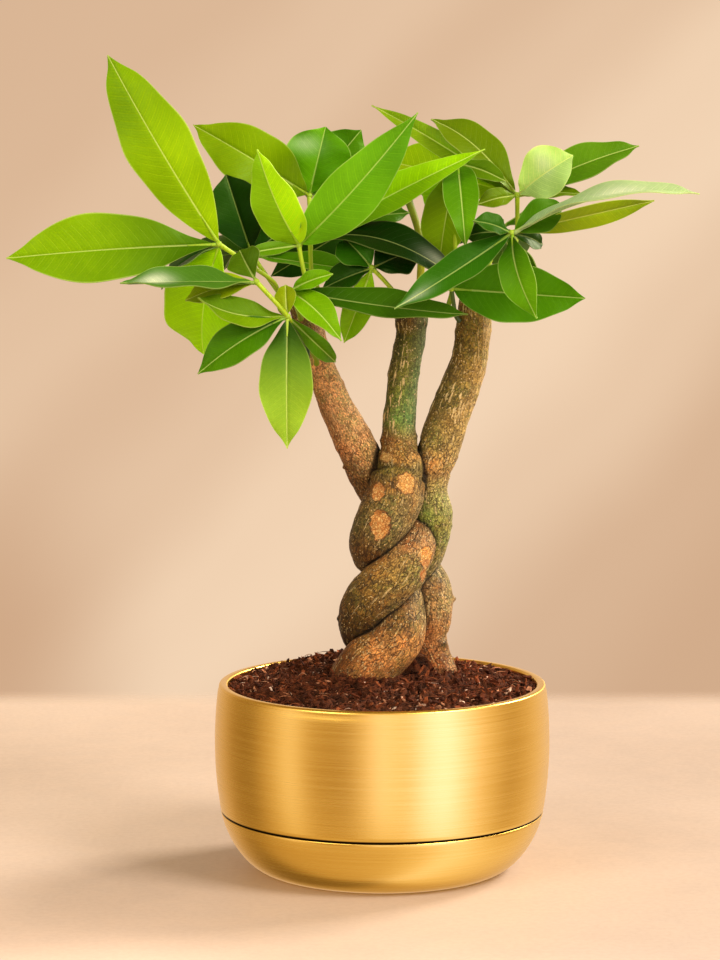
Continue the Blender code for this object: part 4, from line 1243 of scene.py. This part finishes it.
def leaflet(foot, spec, seed):
    """Points, faces, vein rows and tints of one fine leaflet whose upper face follows the solid's."""
    random = np.random.default_rng(seed)
    length = np.linalg.norm(np.asarray(spec["tip"]) - foot)
    rows = int(np.clip(length / BLADE_STEP, *BLADE_ROWS))
    t = 0.5 - 0.5 * np.cos(np.linspace(0, 1, rows) * math.pi)
    t = 0.6 * t + 0.4 * np.linspace(0, 1, rows)
    point, across, out = blade_frame(foot, spec, t)
    shares = np.linspace(-1, 1, 2 * BLADE_COLUMNS + 1)
    shares = np.sign(shares) * np.abs(shares) ** 1.25
    scallop = 1 + 0.02 * np.sin(t * (17 + 5 * random.random()) + 6 * random.random())
    half = np.maximum(spec["width"] / 2 * leaf_outline(np.clip(t, 0.004, 0.998), spec) * scallop, 0.32)
    swing = (1 - np.cos(math.pi * np.interp(t, WAVE_STATIONS, range(len(WAVE_STATIONS))))) / 2 - 0.5
    swing *= 2 * step(t, 0, 0.13) * step(t, 1.0, 0.90)
    wave = -WAVE * spec["wave"] * spec["width"] * swing
    size = np.abs(shares)
    side = np.sign(shares)
    lift = spec["fold"] * half[:, None] * (1.22 * size - 0.22 * size**2)[None]
    lift = lift + (-wave[:, None] * side[None]) * (size**1.6)[None]
    distance = half[:, None] * size[None]
    spacing = np.clip(length / VEIN_PAIRS, *VEIN_SPACING)
    travelled = t[:, None] * length
    sweep = 0.55 * distance + 0.30 * distance**2 / (spec["width"] / 2)
    phase = (travelled - sweep) / spacing + 0.5 * (side > 0)[None] + 40
    phase = phase + 0.10 * np.sin(travelled / 7.0 + 9 * random.random() + 2 * side[None])
    quilt = np.abs(np.sin(math.pi * phase)) ** 0.8 - 0.6
    fade = step(size, 0.03, 0.25) * step(size, 1.0, 0.75)
    lift = lift + 0.17 * quilt * fade[None] * step(half, 1.5, 5.0)[:, None]
    lift = lift - 0.45 * hump(distance, 0.8) * step(half, 0.6, 2.5)[:, None]
    bend = 0.5 * np.sin(t * 5 + 6 * random.random())[:, None] * size[None] ** 2 * side[None]
    lift = lift + bend * step(half, 2.0, 8.0)[:, None]
    aside = (half[:, None] * shares[None])[..., None] * across[:, None]
    top = point[:, None] + aside + lift[..., None] * out[:, None]
    thick = LEAF_THICKNESS + 0.75 * hump(distance, 0.75) * (1 - 0.75 * t[:, None])
    low = top - thick[..., None] * out[:, None]
    rings = np.concatenate([top, low[:, ::-1]], axis=1)
    count = rings.shape[1]
    points = rings.reshape(-1, 3)
    faces = facing_out(points, ring_faces(rows, count))

    def both(values):
        """The same values on the upper and the lower skin."""
        return np.concatenate([values, values[:, ::-1]], axis=1).ravel()

    across_share = np.broadcast_to(size[None], distance.shape)
    rib = distance * (0.75 + 0.9 * t[:, None])
    vein = np.column_stack([both(phase), both(rib), both(across_share)])
    # Painted shade towards the foot (or the tip) and painted light on one half, with the hue that shade takes
    toward = 1 - step(t, 0.0, 0.75) if spec["fade"] > 0 else step(t, 0.35, 1.0)
    shade = (0.95 + 0.1 * random.random()) * (1 + spec["lean"] * side[None])
    shade = shade * (1 - abs(spec["fade"]) * toward[:, None])
    tint = linear(spec["tint"])[None] * both(shade)[:, None] ** np.array(SHADE_HUE)
    # A painted highlight: a silvery patch mixed into the tint
    along, beside, most = spec["bloom"]
    spread = ((t[:, None] - along) / HIGHLIGHT_LENGTH) ** 2, ((shares[None] - beside) / HIGHLIGHT_WIDTH) ** 2
    glint = both(most * np.exp(-spread[0] - spread[1]))
    tint += (linear(SHEEN) - tint) * glint[:, None]
    return points, faces, vein, tint


def petiole_line(plan):
    height, bearing = plan["foot"]
    point, facing = bark_point(plan["trunk"], height, math.radians(bearing))
    foot = point + (GAP + 0.75 * FOOT_FLARE * plan.get("stem", PETIOLE_RADIUS)) * facing
    start = foot + 4 * unit(facing + [0, 0, 1])
    coarse = smooth_curve([foot, start, *plan["petiole"]], PETIOLE_STEP)
    return smooth_curve(coarse, 1.0)


class Pile:
    """Gathers pieces of mesh into one."""

    def __init__(self):
        self.points, self.faces, self.rows, self.total = [], [], {}, 0

    def add(self, points, faces, **rows):
        self.faces += [[i + self.total for i in face] for face in faces]
        self.points.append(points)
        for key, values in rows.items():
            self.rows.setdefault(key, []).append(values)
        self.total += len(points)

    def made(self, name, finish, sharp=None):
        thing = mesh_object(name, np.concatenate(self.points), self.faces, finish, sharp)
        for key, values in self.rows.items():
            paint(thing, key, np.concatenate(values))
        return thing


def make_leaf(name, plan, seed, greens, stalks):
    blades, stems = Pile(), Pile()
    line = petiole_line(plan)
    radius = plan.get("stem", PETIOLE_RADIUS) * STALK_SLIMNESS
    share = np.linspace(0, 1, len(line))
    radii = radius * (1 + (FOOT_FLARE - 1) * np.exp(-share * 9) + 0.18 * np.exp(-(1 - share) * 12))
    points, faces = tube(line, radii, STALK_SIDES)
    low, high = (linear(green) for green in plan.get("stalk", STALK_GREENS))
    rows = np.repeat(share, STALK_SIDES)[:, None]
    stems.add(points, faces, tint=low + (high - low) * rows)
    for centre, specs in plan["crowns"]:
        centre = np.asarray(centre, float)
        hub = HUB_RADIUS * STALK_SLIMNESS
        knob_line = centre + np.linspace(-1, 1, HUB_STEPS)[:, None] * np.array([0, 0, hub])
        knob = hub * np.sqrt(np.clip(1 - np.linspace(-0.97, 0.97, HUB_STEPS) ** 2, 0.04, 1))
        points, faces = tube(knob_line, knob, STALK_SIDES)
        points = points + 0.25 * clouds(points, 1.6, seed, 2)[:, None] * unit(points - centre)
        stems.add(points, faces, tint=np.tile(linear((156, 190, 40)), (len(points), 1)))
        for spec in specs:
            seed += 1
            foot = centre + FOOT_SINK * unit(np.asarray(spec["tip"], float) - centre)
            points, faces, vein, tint = leaflet(foot, spec, seed)
            blades.add(points, faces, vein=vein, tint=tint)
            reach = np.linspace(0, RIB_SHARE, RIB_STEPS)
            rib, _, out = blade_frame(foot, spec, reach)
            rib = rib - 0.45 * out
            thin = np.interp(reach, (0, 0.04, RIB_SHARE), (1.0, 0.8, 0.35)) * min(1.0, spec["width"] / 16)
            points, faces = tube(rib, thin, RIB_SIDES)
            green = 0.55 * linear((150, 178, 52)) + 0.45 * linear(spec["tint"])
            stems.add(points, faces, tint=np.tile(green, (len(points), 1)))
    slot = LEAF_SLOTS.get(name, "leaf_green")
    for piece in (blades.made(name + "_blades", greens[slot], 55), stems.made(name + "_stems", stalks)):
        settle(piece, name)


# Surroundings


# Half the floor's side, and where it fades away from the middle, in metres
FLOOR_HALF = 0.5
FLOOR_SEEN = 0.47


def make_floor():
    made, g = blank("floor")
    place = g.own()
    soft = g.grain(place, 6.0, 3.0, 0.5)
    mottle = g.grain(place, 60.0, 4.0, 0.6)
    fine = g.grain(place, 320.0, 4.0, 0.6)
    colour = g.mix(g.ramp(soft, 0.3, 0.7), linear((188, 170, 157)), linear((198, 180, 167)))
    colour = g.mix(g.ramp(mottle, 0.35, 0.65, 0.0, 0.22), colour, linear((208, 186, 168)))
    colour = g.mix(g.ramp(fine, 0.35, 0.7, 0.0, 0.14), colour, linear((168, 146, 130)))
    axes = g.axes(place)
    # Painted light and shade on the floor: darker to the right, lighter to the front and the front left
    colour = g.mix(g.ramp(axes[0], -0.10, 0.14), colour, g.tone(colour, (0.90, 0.90, 0.92)))
    front_left = g.times(g.ramp(axes[0], 0.02, -0.14), g.ramp(axes[1], 0.02, -0.20))
    colour = g.mix(front_left, colour, g.tone(colour, (1.22, 1.18, 1.16)))
    colour = g.mix(g.ramp(axes[1], -0.08, -0.30), colour, g.tone(colour, (1.22, 1.26, 1.32)))
    rough, bumps = g.ramp(fine, 0.2, 0.8, 0.5, 0.62), g.relief(fine, 0.08, 0.0005)
    surface = g.principled(colour, rough, 0.3, Normal=bumps)
    powers = [g.math("POWER", g.math("ABSOLUTE", g.math("DIVIDE", axes[i], FLOOR_SEEN)), 8.0) for i in (0, 1)]
    far = g.math("POWER", g.plus(powers[0], powers[1]), 0.125)
    clear = g.add("BsdfTransparent").outputs[0]
    g.finish(g.shader_mix(g.ramp(far, 0.88, 1.0), surface, clear))
    corners = [(x * FLOOR_HALF, y * FLOOR_HALF, 0) for x, y in ((-1, -1), (1, -1), (1, 1), (-1, 1))]
    mesh = bpy.data.meshes.new("floor")
    mesh.from_pydata(corners, [], [(0, 1, 2, 3)])
    mesh.materials.append(made)
    floor = placed("floor", mesh)
    floor.visible_glossy = False


# Brightness of the studio all round the pot: degrees to the right of the viewer, and how bright
STUDIO = (
    (-180, 1.0), (-165, 0.9), (-142, 0.80), (-120, 0.42), (-102, 0.30), (-85, 0.68), (-66, 1.3), (-48, 0.58),
    (-24, 0.50), (-11, 1.0), (-2, 1.55), (7, 1.25), (17, 1.05), (31, 1.75), (44, 2.0), (58, 1.4),
    (76, 0.96), (98, 0.58), (114, 0.78), (128, 0.95), (146, 1.0), (165, 0.9), (180, 1.0),
)

# The same for what the pot's lower part mirrors
GROUND = (
    (-180, 0.6), (-150, 0.24), (-125, 0.22), (-100, 0.66), (-50, 0.72), (0, 0.80), (30, 1.0), (63, 1.35),
    (95, 1.15), (125, 0.98), (160, 0.7), (180, 0.6),
)

# Soft light from all round: the side it is strongest from, its least and greatest strength, and its colour
FILL_FROM = (0.45, -0.55, 0.70)
FILL_RANGE = (0.20, 0.80)
FILL_COLOUR = (1.0, 0.78, 0.50)

# Faint slanting light on the wall: how far across the slant, and how bright
BEAMS = (
    (-0.12, 0.30), (-0.06, 0.34), (-0.02, 0.52), (0.0, 0.55), (0.03, 0.40), (0.06, 0.56), (0.10, 0.86),
    (0.135, 0.92), (0.17, 0.66), (0.21, 0.28), (0.26, 0.14),
)


def shades(g, value, stops):
    """A brightness that runs smoothly through stops of (value, brightness)."""
    first, last = stops[0][0], stops[-1][0]
    brightest = max(bright for _, bright in stops)
    share = g.add("MapRange", {"Value": value, "From Min": first, "From Max": last}).outputs[0]
    band = g.add("ValToRGB", {0: share})
    band.color_ramp.interpolation = "EASE"
    made = band.color_ramp.elements
    while len(made) > 1:
        made.remove(made[-1])
    for i, (place, bright) in enumerate(stops):
        share = (place - first) / (last - first)
        stop = made[0] if i == 0 else made.new(share)
        stop.position = share
        stop.color = (bright / brightest,) * 3 + (1,)
    return g.times(band.outputs[0], brightest)


def make_world():
    world = bpy.data.worlds.new("studio")
    world.cycles.sampling_method = "NONE"
    bpy.context.scene.world = world
    g = Graph(world)
    way = g.add("TexCoord").outputs["Generated"]
    axes = g.axes(way)
    bearing = g.math("ARCTAN2", axes[0], g.times(axes[1], -1.0))
    lit = shades(g, g.times(bearing, 180 / math.pi), STUDIO)
    power = g.blend(g.ramp(axes[2], 0.22, 0.70), lit, 0.40)
    ground = shades(g, g.times(bearing, 180 / math.pi), GROUND)
    power = g.blend(g.ramp(axes[2], -0.30, -0.75), power, ground)
    tone = g.mix(g.ramp(power, 0.2, 2.0), (1.0, 0.60, 0.22), (1.0, 0.99, 1.15))
    tone = g.mix(g.ramp(power, 0.95, 2.0), tone, (0.98, 0.91, 2.2))
    glossy = g.add("Background", {"Color": tone, "Strength": power}).outputs[0]
    amount = g.ramp(g.vector("DOT_PRODUCT", way, FILL_FROM)["Value"], -0.9, 0.9, *FILL_RANGE)
    fill = g.add("Background", {"Color": (*FILL_COLOUR, 1), "Strength": amount}).outputs[0]
    ray = g.add("LightPath").outputs
    room = g.shader_mix(ray["Is Glossy Ray"], fill, glossy)
    slant = g.minus(axes[0], axes[2])
    drift = g.grain(way, 9.0)
    slant = g.math("MULTIPLY_ADD", g.minus(drift, 0.5), 0.05, slant)
    beams = shades(g, slant, BEAMS)
    # Painted shade: the painted beams of light are weaker in a patch low on the left of the wall
    corner = g.times(g.ramp(axes[0], -0.050, -0.105), g.ramp(axes[2], -0.105, -0.165))
    beams = g.times(beams, g.minus(1.0, g.times(corner, 0.85)))
    wall = g.mix(beams, linear((204, 164, 130)), linear((246, 216, 184)))
    backdrop = g.add("Background", {"Color": wall, "Strength": 1.0}).outputs[0]
    g.finish(g.shader_mix(ray["Is Camera Ray"], room, backdrop), "OutputWorld")


LIGHTS_AIM = (0, 0, 0.2)


def area_light(name, place, size, power, colour):
    """A soft light in metres and watts that looks at the plant."""
    lamp = bpy.data.lights.new(name, "AREA")
    lamp.shape = "RECTANGLE"
    lamp.size, lamp.size_y = size
    lamp.energy = power
    lamp.color = colour
    holder = placed(name, lamp)
    holder.location = place
    holder.rotation_euler = (Vector(LIGHTS_AIM) - Vector(place)).to_track_quat("-Z", "Y").to_euler()


def make_lights():
    area_light("key", (2.4, -1.9, 2.5), (1.5, 1.5), 132, (1.0, 0.90, 0.78))
    area_light("window", (2.5, 1.7, 2.1), (1.1, 1.3), 150, (1.0, 0.89, 0.74))
    area_light("fill", (-2.2, -2.6, 1.8), (1.8, 1.8), 46, (1.0, 0.93, 0.84))


# The camera that was fitted to the photo: its place in metres, how far it looks down, its focal length and
# the frame's height in pixels, and the height of its film in millimetres
CAMERA_PLACE = (-0.01059, -1.65, 0.3897)
CAMERA_DIP = 0.1222
CAMERA_FOCAL = 3506
PHOTO_HEIGHT = 960
FILM_HEIGHT = 36


def make_camera():
    lens = bpy.data.cameras.new("camera")
    lens.sensor_width = FILM_HEIGHT
    lens.lens = CAMERA_FOCAL / PHOTO_HEIGHT * FILM_HEIGHT
    lens.clip_end = 20
    camera = placed("camera", lens)
    camera.location = CAMERA_PLACE
    camera.rotation_euler = (math.pi / 2 - CAMERA_DIP, 0, 0)
    bpy.context.scene.camera = camera


def main():
    make_camera()
    make_world()
    make_lights()
    make_floor()
    make_pot()
    make_soil()
    skin = bark()
    for name in TRUNKS:
        make_trunk(name, skin)
    finishes = {"leaf_light": (0.40, 0.42), "leaf_green": (0.36, 0.42), "leaf_dark": (0.34, 0.22)}
    greens = {slot: foliage(slot, gloss, veined) for slot, (gloss, veined) in finishes.items()}
    stalks = stalk()
    for number, (name, plan) in enumerate(LEAVES.items()):
        make_leaf(name, plan, 100 * (number + 1), greens, stalks)
    bpy.context.scene.view_settings.view_transform = "Standard"
    bpy.context.scene.view_settings.look = "None"


main()
